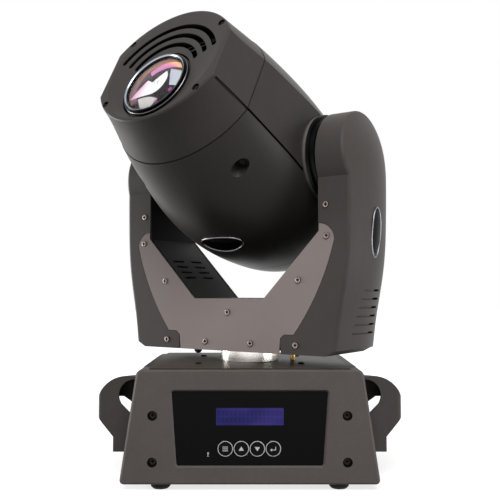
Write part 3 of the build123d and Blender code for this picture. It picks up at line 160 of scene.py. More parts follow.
def turned(profile, segments):
    """A closed profile of (radius, height) carried once round the Z axis: x = r cos t, y = r sin t, z = h."""
    profile = np.asarray(profile, float)
    angle = np.linspace(0, 2 * np.pi, segments, endpoint=False)
    radius, height = profile[:, 0], profile[:, 1]
    points = np.stack([
        np.outer(np.cos(angle), radius),
        np.outer(np.sin(angle), radius),
        np.outer(np.ones(segments), height),
    ], axis=-1).reshape(-1, 3)
    return points, grid_faces(segments, len(profile), True, True)


def disc_grid(count):
    """A square grid u, v from -1 to 1 drawn onto a round disc: x = u sqrt(1 - v v / 2), and y likewise with u
    and v changed over."""
    u, v = np.meshgrid(np.linspace(-1, 1, count), np.linspace(-1, 1, count), indexing="ij")
    return u * np.sqrt(1 - v * v / 2), v * np.sqrt(1 - u * u / 2)


def plate(top, under):
    """A closed plate from two square grids of points that share their outline's order."""
    count = top.shape[0]
    index = np.arange(count * count).reshape(count, count)
    rim = np.concatenate([index[:-1, 0], index[-1, :-1], index[:0:-1, -1], index[0, :0:-1]])
    after = np.roll(rim, -1)
    above = grid_faces(count, count)
    below = above[:, ::-1] + count * count
    sides = np.stack([rim, after, after + count * count, rim + count * count], axis=-1)[:, ::-1]
    points = np.concatenate([top.reshape(-1, 3), under.reshape(-1, 3)])
    faces = np.concatenate([above[:, ::-1], below[:, ::-1], sides[:, ::-1]])
    return points, faces


def screw_head(radius, height, count=19):
    """A round head with a cross recess, and 1 at each of its points in the recess or on its edge, where
    painted shade goes. Over a disc the top falls off with the radius squared, less a cross."""
    x, y = disc_grid(count)
    x, y = x * radius, y * radius
    crown = height * (1 - 0.35 * (x * x + y * y) / radius**2)
    arm, reach = radius * 0.21, radius * 0.62

    def slot(run, side):
        """1 in one of the cross's two slots, falling to 0 at its ends and walls."""
        return np.clip((reach - np.abs(run)) / 0.3, 0, 1) * np.clip((arm - np.abs(side)) / 0.25 + 0.5, 0, 1)

    recess = np.maximum(slot(x, y), slot(y, x))
    top = np.stack([x, y, crown - 0.62 * height * recess], axis=-1)
    # painted shade: a ring round the edge stands for the shadow where the head meets the part
    edge = np.clip((np.sqrt(x * x + y * y) / radius - 0.86) / 0.1, 0, 1)
    shade = np.concatenate([np.maximum(recess, edge).ravel(), np.ones(count * count)])
    return plate(top, np.stack([x, y, np.zeros_like(x)], axis=-1)), shade


def slab(outline, thickness):
    """A closed convex outline given thickness along Z, as triangles: two fans and a band."""
    outline = np.asarray(outline, float)
    count = len(outline)
    low = np.column_stack([outline, np.zeros(count)])
    high = np.column_stack([outline, np.full(count, thickness)])
    i = np.arange(1, count - 1)
    fan = np.stack([np.zeros_like(i), i, i + 1], axis=-1)
    j = np.arange(count)
    k = (j + 1) % count
    wall = np.concatenate([
        np.stack([j, k, k + count], axis=-1),
        np.stack([j, k + count, j + count], axis=-1),
    ])
    return np.concatenate([low, high]), np.concatenate([fan[:, ::-1], fan + count, wall])


def aimed(part, matrix):
    """A (points, faces) pair in millimetres turned and moved by a matrix whose place is in millimetres."""
    points, faces = part
    rotation = np.array(matrix.to_3x3())
    return points @ rotation.T + np.array(matrix.translation), faces


# -------------------------------------------------- materials


class Value:
    """A number on a socket. Each operator adds the Math node for it and gives the result."""

    def __init__(self, finish, socket):
        self.finish = finish
        self.socket = socket

    def math(self, operation, *others):
        """The result of a Math node fed by this number and others."""
        inputs = dict(enumerate((self, *others)))
        return self.finish.node("ShaderNodeMath", {"operation": operation}, inputs).value()

    def __add__(self, other):
        return self.math("ADD", other)

    __radd__ = __add__

    def __mul__(self, other):
        return self.math("MULTIPLY", other)

    __rmul__ = __mul__

    def __sub__(self, other):
        return self.math("SUBTRACT", other)

    def __rsub__(self, other):
        return (self * -1.0) + other

    def __truediv__(self, other):
        return self.math("DIVIDE", other)

    def __pow__(self, other):
        return self.math("POWER", other)

    def __abs__(self):
        return self.math("ABSOLUTE")

    def __lt__(self, other):
        return self.math("LESS_THAN", other)

    def __gt__(self, other):
        return self.math("GREATER_THAN", other)

    def ramp(self, low, high):
        """0 up to low, 1 from high, and a smooth rise between."""
        settings = {"interpolation_type": "SMOOTHSTEP"}
        inputs = {"Value": self, "From Min": low, "From Max": high}
        return self.finish.node("ShaderNodeMapRange", settings, inputs).value()


class Added:
    """A node that was added to a finish; value() and output() give its sockets."""

    def __init__(self, finish, node):
        self.finish = finish
        self.node = node

    def output(self, name=0):
        return self.node.outputs[name]

    def value(self, name=0):
        return Value(self.finish, self.node.outputs[name])


class Nodes:
    """A node tree while its nodes are put together."""

    def __init__(self, tree):
        self.tree = tree

    def node(self, kind, settings=None, inputs=None):
        """Add a node: its settings first, then its sockets' values or links."""
        node = self.tree.nodes.new(kind)
        for key, value in (settings or {}).items():
            setattr(node, key, value)
        for key, value in (inputs or {}).items():
            self.feed(node.inputs[key], value)
        return Added(self, node)

    def feed(self, socket, value):
        """Link a socket or value to an input, or set the input to a plain number or colour."""
        if isinstance(value, Value):
            value = value.socket
        if isinstance(value, Added):
            value = value.output()
        if isinstance(value, bpy.types.NodeSocket):
            self.tree.links.new(value, socket)
        else:
            socket.default_value = value

    def blend(self, amount, first, second):
        """Two colours mixed by an amount."""
        inputs = {0: amount, 6: first, 7: second}
        return self.node("ShaderNodeMix", {"data_type": "RGBA"}, inputs).output(2)


class Finish(Nodes):
    """A material while its nodes are put together round one Principled shader."""

    def __init__(self, name, **constants):
        self.material = bpy.data.materials.new(name)
        self.material.use_nodes = True
        super().__init__(self.material.node_tree)
        self.shader = next(n for n in self.tree.nodes if n.type == "BSDF_PRINCIPLED")
        for socket, value in constants.items():
            self.shader.inputs[socket.replace("_", " ")].default_value = value

    def drive(self, name, value):
        """Let something that changes over the surface feed one of the shader's inputs."""
        self.feed(self.shader.inputs[name], value)

    def color(self, amount, first, second):
        """Base colour that an amount moves from one colour to another."""
        self.drive("Base Color", self.blend(amount, first, second))

    def place(self, matrix=BASE, stretch=(1, 1, 1)):
        """The point on the object, measured in one of its placements, in metres and stretched."""
        source = self.node("ShaderNodeTexCoord").output("Object")
        inverse = matrix.inverted()
        settings = {"vector_type": "POINT"}
        inputs = {"Vector": source, "Location": inverse.translation, "Rotation": inverse.to_euler("XYZ")}
        local = self.node("ShaderNodeMapping", settings, inputs)
        if tuple(stretch) == (1, 1, 1):
            return local.output()
        return self.node("ShaderNodeMapping", settings, {"Vector": local, "Scale": stretch}).output()

    def parts(self, vector):
        """The three numbers of a vector."""
        split = self.node("ShaderNodeSeparateXYZ", None, {"Vector": vector})
        return split.value("X"), split.value("Y"), split.value("Z")

    def noise(self, vector, scale, detail=2.0, roughness=0.5):
        """Soft clouds, about 0.5 in the middle of their range."""
        inputs = {"Vector": vector, "Scale": scale, "Detail": detail, "Roughness": roughness}
        return self.node("ShaderNodeTexNoise", None, inputs).value("Fac")

    def cells(self, vector, scale):
        """Distance to the nearest of scattered points: pebbles and flakes."""
        return self.node("ShaderNodeTexVoronoi", None, {"Vector": vector, "Scale": scale}).value("Distance")

    def bump(self, height, strength, distance):
        """A height in the range 0 to 1 as relief on the normal."""
        inputs = {"Height": height, "Strength": strength, "Distance": distance}
        self.drive("Normal", self.node("ShaderNodeBump", None, inputs).output())


def rgb(red, green, blue):
    """A colour as a screen shows it, 0 to 255, made linear."""
    channels = [value / 255 for value in (red, green, blue)]
    return tuple(c / 12.92 if c <= 0.04045 else ((c + 0.055) / 1.055) ** 2.4 for c in channels) + (1.0,)


def scaled(color, factor):
    """A colour made lighter or darker."""
    return tuple(min(1.0, c * factor) for c in color[:3]) + (1.0,)


def grained_plastic(name, color, roughness=0.5, recess_shade=None):
    """Moulded housing plastic: fine spark grain, faint flow clouds, mottling and handling marks. The function
    passed as the last argument takes the finish and gives 1 inside recesses, where painted shade turns the
    plastic near black."""
    finish = Finish(name, Specular_IOR_Level=0.14)
    point = finish.place()
    pebbles = finish.noise(point, scale=700, detail=3, roughness=0.7)
    grain = finish.cells(point, scale=1100) * 0.5 + pebbles * 0.5
    clouds = finish.noise(point, scale=9, detail=3, roughness=0.55)
    mottle = finish.noise(point, scale=75, detail=3, roughness=0.6)
    drawn = finish.place(stretch=(1, 1, 0.25))
    marks = finish.noise(drawn, scale=60, detail=4, roughness=0.65).ramp(0.58, 0.78)
    tone = clouds * 0.4 + grain * 0.6 + marks * 0.15 + mottle * 0.3 - 0.15
    skin = finish.blend(tone, scaled(color, 0.7), scaled(color, 1.3))
    if recess_shade:
        # painted shade: near black inside the recesses the mask marks
        skin = finish.blend(recess_shade(finish), skin, rgb(9, 9, 9))
    finish.drive("Base Color", skin)
    finish.drive("Roughness", clouds * 0.12 + marks * 0.06 + (roughness - 0.08))
    finish.bump(grain, strength=0.35, distance=0.12 * MM)
    return finish.material


def screw_wells(finish):
    """Where painted shade goes: inside the four screw wells at each end of the base."""
    well_radius, deepest = 4.9 * MM, 91.4 * MM
    x, y, z = finish.parts(finish.place())
    across = abs(x) - WELLS_ACROSS * MM
    low, high = [(across * across + (z - height * MM) ** 2.0) ** 0.5 for height in WELL_HEIGHTS]
    return (low.math("MINIMUM", high) < well_radius) * (abs(y) < deepest)


def side_groove(finish):
    """Where painted shade goes: inside the groove where the head's two shells part, which rises slightly
    towards the front.
    """
    half_width, slope, front, front_height = 1.25 * MM, 0.06, 118.0 * MM, -29.5 * MM
    a, b, c = finish.parts(finish.place(HEAD))
    level = c * slope + (front_height - front * slope)
    return (abs(b - level) < half_width) * (abs(a) > 30.0 * MM)


def lens_reach(x, y):
    """Distance from the lens axis, for a point of the head in metres."""
    return (x * x + (y + LENS_DROP * MM) ** 2.0) ** 0.5


def head_hollows(finish):
    """Where painted shade goes: inside the front cap's slots and notches, below the dished face and within
    the cap's own outline, and in the side groove.
    """
    barrel_radius, rim_radius, drop = 38.3 * MM, 64.0 * MM, LENS_DROP * MM
    floor_height, dish_depth = CAP_FACE * MM, 3.0 * MM
    a, b, c = finish.parts(finish.place(HEAD))
    reach = lens_reach(a, b)
    rise = (reach - barrel_radius) / ((b + drop) / reach * drop + (rim_radius - barrel_radius))
    face = rise.math("MINIMUM", 1.0).math("MAXIMUM", 0.0) * dish_depth + floor_height
    outline = (a * a + (abs(b) + 12.5 * MM) ** 2.0) ** 0.5
    inside = (outline < 75.7 * MM) * (abs(a) < 66.5 * MM)
    cut = (face - c).ramp(0.3 * MM, 0.9 * MM) * inside
    return cut.math("MAXIMUM", side_groove(finish) * (c < 158.5 * MM))


def collar_finish(name, color):
    """The tilt collars: satin plastic with a painted highlight along each of two edges, made patchy by a
    noise that also bumps the surface, and painted black shade in the throat beside the arm.
    """
    finish = Finish(name, Specular_IOR_Level=0.14, Roughness=0.36)
    along = abs(finish.parts(finish.place(HEAD))[0])
    patchy_noise = finish.noise(finish.place(), scale=160, detail=3, roughness=0.6) * 0.4 + 0.7
    inner_highlight = along.ramp(84.6 * MM, 85.6 * MM) * along.ramp(88.5 * MM, 87.0 * MM)
    outer_highlight = along.ramp(92.5 * MM, 93.5 * MM) * along.ramp(96.2 * MM, 95.2 * MM)
    # painted highlight: the two edge bands turn up to 2.6 times lighter
    skin = finish.blend((inner_highlight + outer_highlight) * patchy_noise, color, scaled(color, 2.6))
    # painted shade: near black in the throat beside the arm
    throat = along.ramp(95.2 * MM, 96.6 * MM)
    finish.color(throat, skin, rgb(6, 6, 6))
    finish.bump(patchy_noise, strength=0.1, distance=0.1 * MM)
    return finish.material


def powder_coat(name, color, roughness=0.5, gloss=0.2):
    """Powder coated sheet: soft orange peel with a fine fleck."""
    finish = Finish(name, Specular_IOR_Level=gloss)
    point = finish.place()
    peel = finish.noise(point, scale=520, detail=2, roughness=0.45)
    flecks = finish.cells(point, scale=2100).ramp(0.05, 0.5)
    clouds = finish.noise(point, scale=14, detail=3)
    tone = clouds * 0.6 + flecks * 0.25
    finish.color(tone, scaled(color, 0.84), scaled(color, 1.18))
    finish.drive("Roughness", clouds * 0.1 + (roughness - 0.05))
    finish.bump(peel, strength=0.25, distance=0.25 * MM)
    return finish.material


def gloss_black(name, color, roughness):
    """Smooth black with settled dust and faint wipe marks."""
    finish = Finish(name, Specular_IOR_Level=0.05)
    point = finish.place()
    patches = finish.noise(point, scale=70, detail=2).ramp(0.55, 0.7)
    dust = finish.cells(point, scale=420).ramp(0.1, 0.03) * patches
    wiped = finish.place(stretch=(1, 6, 3))
    wipes = finish.noise(wiped, scale=14, detail=4, roughness=0.6).ramp(0.45, 0.75)
    finish.color(dust * 0.4, color, rgb(96, 92, 88))
    finish.drive("Roughness", wipes * 0.14 + dust * 0.4 + roughness)
    return finish.material


def lathe_rings(finish, matrix, scale):
    """Fine rings that follow one another along a placement's Z axis."""
    return finish.noise(finish.place(matrix, (0.02, 0.02, 1)), scale, detail=3, roughness=0.7)


def turned_metal(name, color, matrix, roughness):
    """Lathe-turned metal: fine rings square to the turning axis."""
    finish = Finish(name, Metallic=1.0)
    rings = lathe_rings(finish, matrix, 2600)
    haze = finish.noise(finish.place(), scale=30, detail=3)
    tone = rings * 0.6 + haze * 0.4
    finish.color(tone, scaled(color, 0.85), scaled(color, 1.1))
    finish.drive("Roughness", rings * 0.16 + haze * 0.08 + (roughness - 0.1))
    finish.bump(rings, strength=0.18, distance=0.08 * MM)
    return finish.material


def plated_steel(name, color, roughness=0.35):
    """Zinc-plated sheet or screws: cloudy spangle and fine scratches."""
    finish = Finish(name, Metallic=1.0)
    spangle = finish.cells(finish.place(), scale=160)
    brushed = finish.place(stretch=(1, 14, 3))
    scratches = finish.noise(brushed, scale=240, detail=3, roughness=0.7).ramp(0.5, 0.8)
    tone = spangle * 0.6 + scratches * 0.4
    finish.color(tone, scaled(color, 0.8), scaled(color, 1.15))
    finish.drive("Roughness", spangle * 0.14 + scratches * 0.12 + (roughness - 0.1))
    finish.bump(scratches, strength=0.12, distance=0.05 * MM)
    return finish.material


def screw_finish(name, color, roughness):
    """Plated screw head: a worn crown, with painted shade in its recess and round its edge."""
    finish = Finish(name, Metallic=0.8, Specular_IOR_Level=0.3)
    shade = finish.node("ShaderNodeAttribute", {"attribute_name": "shade"}).value("Fac")
    patchy_noise = finish.noise(finish.place(), scale=900, detail=3, roughness=0.6)
    crown = finish.blend(patchy_noise, scaled(color, 0.75), scaled(color, 1.2))
    # painted shade: near black where the shade attribute marks the recess and the edge
    finish.color(shade.ramp(0.2, 0.8), crown, rgb(20, 18, 17))
    finish.drive("Roughness", patchy_noise * 0.2 + (roughness - 0.1) + shade * 0.3)
    return finish.material


def moulded_rubber(name, color):
    """Matt rubber with a dry bloom and pores."""
    finish = Finish(name, Specular_IOR_Level=0.3, Sheen_Weight=0.15)
    point = finish.place()
    pores = finish.cells(point, scale=1300)
    bloom = finish.noise(point, scale=55, detail=4, roughness=0.6).ramp(0.4, 0.75)
    finish.color(bloom * 0.5 + pores * 0.2, color, scaled(color, 2.2))
    finish.drive("Roughness", bloom * 0.15 + 0.72)
    finish.bump(pores, strength=0.3, distance=0.1 * MM)
    return finish.material


def band(value, low, high):
    """1 where a value lies between two others."""
    return (value > low) * (value < high)


def display_glow(name):
    """Lit display: patchy blue light, brighter on one side, under two lines of sixteen darker cells."""
    columns, lines, margin_columns, line_margin = 16.0, 2.0, 1.0, 0.3
    window_height, window_middle = 16.4 * MM, 63.3 * MM
    finish = Finish(name, Roughness=0.12, Emission_Strength=0.5, Specular_IOR_Level=0.06)
    low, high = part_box("lcd_module")
    x, _, z = finish.parts(finish.place())
    across = (x - low.x) / (high.x - low.x)
    up = (z - (window_middle - window_height / 2)) / window_height
    column = across * (columns + 2 * margin_columns)
    line = up * (lines + 2 * line_margin) - line_margin
    in_cell = band(column.math("FRACT"), 0.14, 0.86) * band(line.math("FRACT"), 0.12, 0.88)
    in_rows = band(line, 0.0, lines) * band(column, margin_columns, margin_columns + columns)
    patches = finish.noise(finish.place(stretch=(1, 1, 1.6)), scale=34, detail=2).ramp(0.2, 0.9)
    tone = patches * 0.6 + across * 0.3 - in_cell * in_rows * 0.2
    lit = finish.blend(tone, rgb(36, 36, 100), rgb(76, 66, 150))
    finish.color(0.8, lit, rgb(10, 10, 30))
    finish.drive("Emission Color", lit)
    return finish.material


def circuit_board(name):
    """Green solder mask with tracks in two directions and bright pads."""
    pitch, sway = 900.0, 6.0
    finish = Finish(name, Roughness=0.35)
    point = finish.place()
    x, y, z = finish.parts(point)
    along = (z * pitch + finish.noise(point, scale=60, detail=1) * sway).math("SINE")
    across = (x * pitch + y * pitch + finish.noise(point, scale=45, detail=1) * sway).math("SINE")
    tracks = (along.ramp(0.5, 0.7) + across.ramp(0.6, 0.8)) * 0.5
    pads = finish.cells(point, scale=260).ramp(0.16, 0.1)
    mask = finish.blend(tracks, rgb(18, 62, 34), rgb(38, 98, 58))
    finish.color(pads, mask, rgb(190, 178, 140))
    finish.drive("Metallic", pads)
    finish.bump(tracks, strength=0.2, distance=0.05 * MM)
    return finish.material


def clear_glass(name, tint):
    """Optical glass with a faint bloom coating that deepens towards its rim."""
    finish = Finish(name, Transmission_Weight=1.0, IOR=1.15, Roughness=0.0)
    a, b, _ = finish.parts(finish.place(HEAD))
    rim = lens_reach(a, b).ramp(22.0 * MM, 31.0 * MM)
    finish.color(rim, tint, scaled(tint, 0.88))
    return finish.material


def coated_element(name):
    """Lens element under the front glass, painted with the reflections seen in its optics: a brown margin and
    a rose band over deep plum, with pale painted highlights at its middle, side and foot. Lengths are
    millimetres from the lens axis."""
    finish = Finish(name, Specular_IOR_Level=0.1)
    a, b, _ = finish.parts(finish.place(HEAD, (1000, 1000, 1000)))
    b = b + LENS_DROP
    fine = finish.noise(finish.place(HEAD), scale=170, detail=3, roughness=0.6) - 0.5

    def within(across, up, radius, soft=0.5):
        """Inside a circle about a point."""
        reach = ((a - across) ** 2.0 + (b - up) ** 2.0) ** 0.5
        return (reach + fine).ramp(radius + soft, radius - soft)

    def beyond(across, up, turn, soft=0.5):
        """On the far side of a line through a point, looking along a direction in degrees."""
        away = (a - across) * math.cos(math.radians(turn)) + (b - up) * math.sin(math.radians(turn))
        return (away + fine).ramp(-soft, soft)

    wide = within(14.0, -16.0, 32.4)
    deep = finish.blend(beyond(-6.0, 4.0, 125, 9.0), rgb(14, 10, 17), rgb(52, 30, 40))

    brown = finish.blend(beyond(-14.0, 8.0, 70, 14.0), rgb(112, 82, 86), rgb(140, 104, 80))
    margin = beyond(10.0, 0.0, 165, 4.0) * beyond(0.0, -18.0, 100, 3.0)
    margin = margin * (1.0 - within(4.0, -2.0, 24.6, 1.6))

    under = wide * beyond(14.0, 12.0, 20, 2.0) * beyond(0.0, 10.6, 80)

    glow = finish.blend(beyond(6.0, 21.5, 82, 3.5), rgb(190, 120, 172), rgb(226, 138, 140))
    rose_color = finish.blend(beyond(15.0, 20.6, 55, 4.0), glow, rgb(246, 204, 138))
    rose = within(9.5, -3.0, 27.2) * (1.0 - wide) * beyond(-9.5, 12.2, 38)

    haze = (finish.noise(finish.place(HEAD), scale=420, detail=2) - 0.46).ramp(0.0, 0.2)
    pale_highlight = finish.blend(beyond(-9.0, 0.0, -20, 8.0), rgb(206, 168, 196), rgb(226, 230, 228))
    pale_highlight = finish.blend(haze * within(3.0, -1.0, 5.0, 3.0) * 0.6, pale_highlight, rgb(150, 156, 154))
    upper = (beyond(-9.1, 4.2, -40) * beyond(-9.1, 4.2, 239)).math("MAXIMUM", beyond(-2.1, 0.0, -45))
    bounds = within(-2.5, 1.8, 16.4).math("MAXIMUM", beyond(-2.5, 0.0, 180, 0.2) * within(0.0, 0.0, 28.6))
    middle = upper * bounds * beyond(0.0, -14.2, 93)

    side_highlight_color = finish.blend(beyond(24.0, 0.0, 10, 8.0), rgb(156, 168, 182), rgb(184, 200, 198))
    side = beyond(20.0, 12.6, -107) * beyond(16.7, 4.0, 17) * beyond(24.0, -6.7, 85) * within(0.0, 0.0, 30.4)

    foot = beyond(-10.2, -23.0, 29) * beyond(8.8, -24.2, 144)
    foot = foot * within(-6.0, -60.0, 43.3) * within(0.0, 0.0, 29.4)
    spots = within(22.4, -11.2, 1.6, 2.0).math("MAXIMUM", within(10.0, -22.7, 1.4, 1.8))

    # painted reflections: each mask lays one patch of reflected light over the deep plum
    skin = deep
    for mask, color in (
        (margin, brown),
        (under, rgb(84, 48, 40)),
        (rose, rose_color),
        (middle, pale_highlight),
        (side, side_highlight_color),
        (foot, rgb(180, 184, 178)),
        (spots, rgb(160, 78, 146)),
    ):
        skin = finish.blend(mask, skin, color)
    finish.drive("Base Color", skin)
    finish.drive("Roughness", fine * 0.1 + 0.16)
    return finish.material


def barrel_metal(name):
    """Lens barrel: blackened and finely turned, with a grey ring painted along the front edge of its outer
    step as a highlight.
    """
    finish = Finish(name, Metallic=0.9)
    a, b, c = finish.parts(finish.place(HEAD))
    reach = lens_reach(a, b)
    rings = lathe_rings(finish, HEAD, 3600)
    # painted highlight: a grey ring along the front edge of the outer step
    edge = reach.ramp(35.2 * MM, 35.7 * MM) * reach.ramp(36.2 * MM, 35.9 * MM) * (c > 158.0 * MM)
    finish.color(edge * 0.7, rgb(22, 22, 23), rgb(120, 120, 122))
    finish.drive("Roughness", rings * 0.16 + 0.2)
    finish.bump(rings, strength=0.15, distance=0.08 * MM)
    return finish.material


def lip_metal(name):
    """Lens lip: a bright bevel that faces the glass and a blackened outside."""
    finish = Finish(name, Metallic=1.0)
    a, b, _ = finish.parts(finish.place(HEAD))
    rings = lathe_rings(finish, HEAD, 3600)
    bright = finish.blend(rings, rgb(138, 148, 158), rgb(176, 184, 192))
    outer = lens_reach(a, b).ramp(33.1 * MM, 33.5 * MM)
    finish.color(outer, bright, rgb(30, 30, 31))
    finish.drive("Roughness", rings * 0.14 + 0.14)
    return finish.material


def printed_ink(name, color):
    """Screen-printed ink: a little uneven and slightly proud."""
    finish = Finish(name, Roughness=0.45)
    patches = finish.noise(finish.place(), scale=900, detail=3, roughness=0.6)
    finish.color(patches, scaled(color, 0.86), color)
    finish.bump(patches, strength=0.2, distance=0.03 * MM)
    return finish.material


def stepper_case(name, matrix, axis_index):
    """Stepper motor: black laminated middle between plain end castings."""
    finish = Finish(name, Metallic=0.7, Roughness=0.4)
    point = finish.place(matrix)
    layers = (finish.parts(point)[axis_index] * 9000.0).math("SINE")
    clouds = finish.noise(point, scale=60, detail=3)
    finish.color(clouds * 0.5 + layers * 0.2, rgb(28, 28, 30), rgb(74, 74, 78))
    finish.bump(layers, strength=0.25, distance=0.1 * MM)
    return finish.material


def belt_rubber(name):
    """Black belt rubber with its fabric face."""
    threads = 6000.0
    finish = Finish(name, Roughness=0.8)
    x, y, z = finish.parts(finish.place())
    weave = ((x + y) * threads).math("SINE") * (z * threads).math("SINE")
    finish.color(weave * 0.5 + 0.5, rgb(20, 20, 21), rgb(40, 40, 42))
    finish.bump(weave, strength=0.3, distance=0.08 * MM)
    return finish.material


# -------------------------------------------------- settings


class StageSettings(bpy.types.PropertyGroup):
    """The camera and the light round the object."""

    camera_place: bpy.props.FloatVectorProperty(
        name="Camera Place", description="Where the camera stands",
        default=(0.00015, -0.8146, 0.1844), subtype="TRANSLATION", unit="LENGTH",
    )
    camera_pitch: bpy.props.FloatProperty(
        name="Camera Pitch", description="How far the camera looks up",
        default=math.radians(2.98), subtype="ANGLE", unit="ROTATION",
    )
    camera_lens: bpy.props.FloatProperty(
        name="Focal Length", description="Focal length on a 36 mm sensor",
        default=54.35, min=10.0, unit="CAMERA",
    )
    key_power: bpy.props.FloatProperty(
        name="Key Power", description="Power of the large lamp above the camera",
        default=22.0, min=0.0, unit="POWER",
    )
    fill_power: bpy.props.FloatProperty(
        name="Fill Power", description="Power of the low lamp on the right",
        default=6.2, min=0.0, unit="POWER",
    )
    rim_power: bpy.props.FloatProperty(
        name="Rim Power", description="Power of the low lamp behind on the left",
        default=20.0, min=0.0, unit="POWER",
    )
    world_light: bpy.props.FloatProperty(
        name="World Light", description="Strength of the light from all round", default=0.07, min=0.0,
    )


class FinishSettings(bpy.types.PropertyGroup):
    """Colours of the main finishes."""

    housing: bpy.props.FloatVectorProperty(
        name="Housing", description="Colour of the moulded housings",
        default=rgb(84, 79, 77)[:3], subtype="COLOR", min=0.0, max=1.0,
    )
    yoke_plate: bpy.props.FloatVectorProperty(
        name="Yoke Plates", description="Colour of the painted yoke plates",
        default=rgb(152, 140, 137)[:3], subtype="COLOR", min=0.0, max=1.0,
    )
    print_white: bpy.props.FloatVectorProperty(
        name="Print", description="Colour of the marks printed on the control panel",
        default=rgb(226, 226, 228)[:3], subtype="COLOR", min=0.0, max=1.0,
    )


def stage_settings():
    """The scene's camera and light settings."""
    return bpy.context.scene.light_stage


def finish_settings():
    """The scene's colour settings."""
    return bpy.context.scene.light_finish


def opaque(color):
    """A settings colour with its alpha."""
    return (*color, 1.0)


def paint(material, *nodes):
    """Give CAD nodes a finish."""
    for name in nodes:
        for material_slot in frame["nodes"][name].material_slots:
            material_slot.material = material


# -------------------------------------------------- stage


LAMP_AIM = Vector((0, 0, 0.25))
LAMPS = (  # name, its power among the settings, size, place
    ("key_lamp", "key_power", (1.2, 0.9), (0.05, -1.25, 1.3)),
    ("fill_lamp", "fill_power", (0.8, 0.4), (1.2, -0.35, 0.04)),
    ("rim_lamp", "rim_power", (0.7, 0.8), (-1.3, 0.5, 0.1)),
)
FLOOR_HALF = 6.0
FLOOR_NEAR, FLOOR_FAR = 0.2, 1.3


def add_lamp(name, power, size, place):
    """A rectangular soft lamp that faces the object."""
    lamp = bpy.data.lights.new(name, "AREA")
    lamp.shape = "RECTANGLE"
    lamp.size, lamp.size_y = size
    lamp.energy = power
    holder = bpy.data.objects.new(name, lamp)
    turn = (LAMP_AIM - Vector(place)).to_track_quat("-Z", "Y").to_matrix().to_4x4()
    holder.matrix_world = Matrix.Translation(place) @ turn
    bpy.context.scene.collection.objects.link(holder)


def seen_directly(nodes):
    """1 where the camera, a reflection or a glass sees the surroundings, and 0 where they only light."""
    path = nodes.node("ShaderNodeLightPath")
    seen = path.value("Is Camera Ray") + path.value("Is Glossy Ray") + path.value("Is Transmission Ray")
    return seen.math("MINIMUM", 1.0)


def pale_floor():
    """Plain pale floor that fades to white away from the object and keeps its shadow."""
    finish = Finish("pale_floor", Roughness=0.9, Emission_Strength=1.0)
    seen = seen_directly(finish)
    x, y, _ = finish.parts(finish.place())
    far = ((x * x + y * y) ** 0.5).ramp(FLOOR_NEAR, FLOOR_FAR)
    shade = finish.noise(finish.place(), scale=3, detail=2) * 0.1 + 0.9
    finish.color(seen * shade, rgb(60, 59, 58), rgb(222, 220, 218))
    glow = finish.blend(far, (0.74, 0.74, 0.74, 1.0), WHITE)
    finish.drive("Emission Color", finish.blend(seen, BLACK, glow))
    return finish.material


def studio_world(light):
    """White surroundings: full where they are seen, and only a little light otherwise."""
    world = bpy.data.worlds.new("studio")
    world.use_nodes = True
    sky = Nodes(world.node_tree)
    background = next(n for n in sky.tree.nodes if n.type == "BACKGROUND")
    background.inputs["Color"].default_value = WHITE
    sky.feed(background.inputs["Strength"], seen_directly(sky) * (1.0 - light) + light)
    return world


class LIGHT_OT_stage(bpy.types.Operator):
    """Set the floor, the lamps, the world and the camera"""

    bl_idname = "light.stage"
    bl_label = "Stage"

    def execute(self, context):
        settings = stage_settings()
        scene = context.scene
        scene.view_settings.view_transform = "Standard"

        floor_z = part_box("rubber_feet")[0].z
        points = np.array([(-1, -1, 0), (1, -1, 0), (1, 1, 0), (-1, 1, 0)]) * FLOOR_HALF + (0, 0, floor_z)
        add_mesh("floor", points, [[0, 1, 2, 3]], None, pale_floor(), smooth=False)

        scene.world = studio_world(settings.world_light)
        for name, power, size, place in LAMPS:
            add_lamp(name, getattr(settings, power), size, place)

        camera = bpy.data.objects.new("camera", bpy.data.cameras.new("camera"))
        camera.data.lens = settings.camera_lens
        camera.data.sensor_width = 36
        camera.data.clip_start = 0.05
        camera.location = settings.camera_place
        camera.rotation_euler = (math.pi / 2 + settings.camera_pitch, 0, 0)
        scene.collection.objects.link(camera)
        scene.camera = camera
        return {"FINISHED"}


# -------------------------------------------------- finishes


class LIGHT_OT_housings(bpy.types.Operator):
    """Finish the moulded housings"""

    bl_idname = "light.housings"
    bl_label = "Moulded Housings"

    def execute(self, context):
        housing = opaque(finish_settings().housing)
        # painted light and shade: the parts take lighter and darker copies of the one housing colour, set by
        # how light falls on each
        base = grained_plastic("base_plastic", scaled(housing, 1.42), recess_shade=screw_wells)
        paint(base, "front_bezel", "rear_bezel")
        arms = grained_plastic("arm_plastic", scaled(housing, 0.84))
        paint(arms, "left_handle", "right_handle", "left_arm_cover", "right_arm_cover")
        upper = grained_plastic("head_plastic", scaled(housing, 0.5), roughness=0.38, recess_shade=side_groove)
        paint(upper, "upper_shell", "rear_cap")
        # painted shade: the head's lower shell is a darker copy of the upper shell's colour
        under = scaled(housing, 0.42)
        lower = grained_plastic("head_under_plastic", under, roughness=0.38, recess_shade=side_groove)
        paint(lower, "lower_shell")
        # painted light: the front cap is a lighter copy of the shells' colour
        cap = grained_plastic("cap_plastic", scaled(housing, 0.58), roughness=0.46, recess_shade=head_hollows)
        paint(cap, "front_cap")
        paint(collar_finish("collar_plastic", scaled(housing, 0.7)), "tilt_collars")
        return {"FINISHED"}


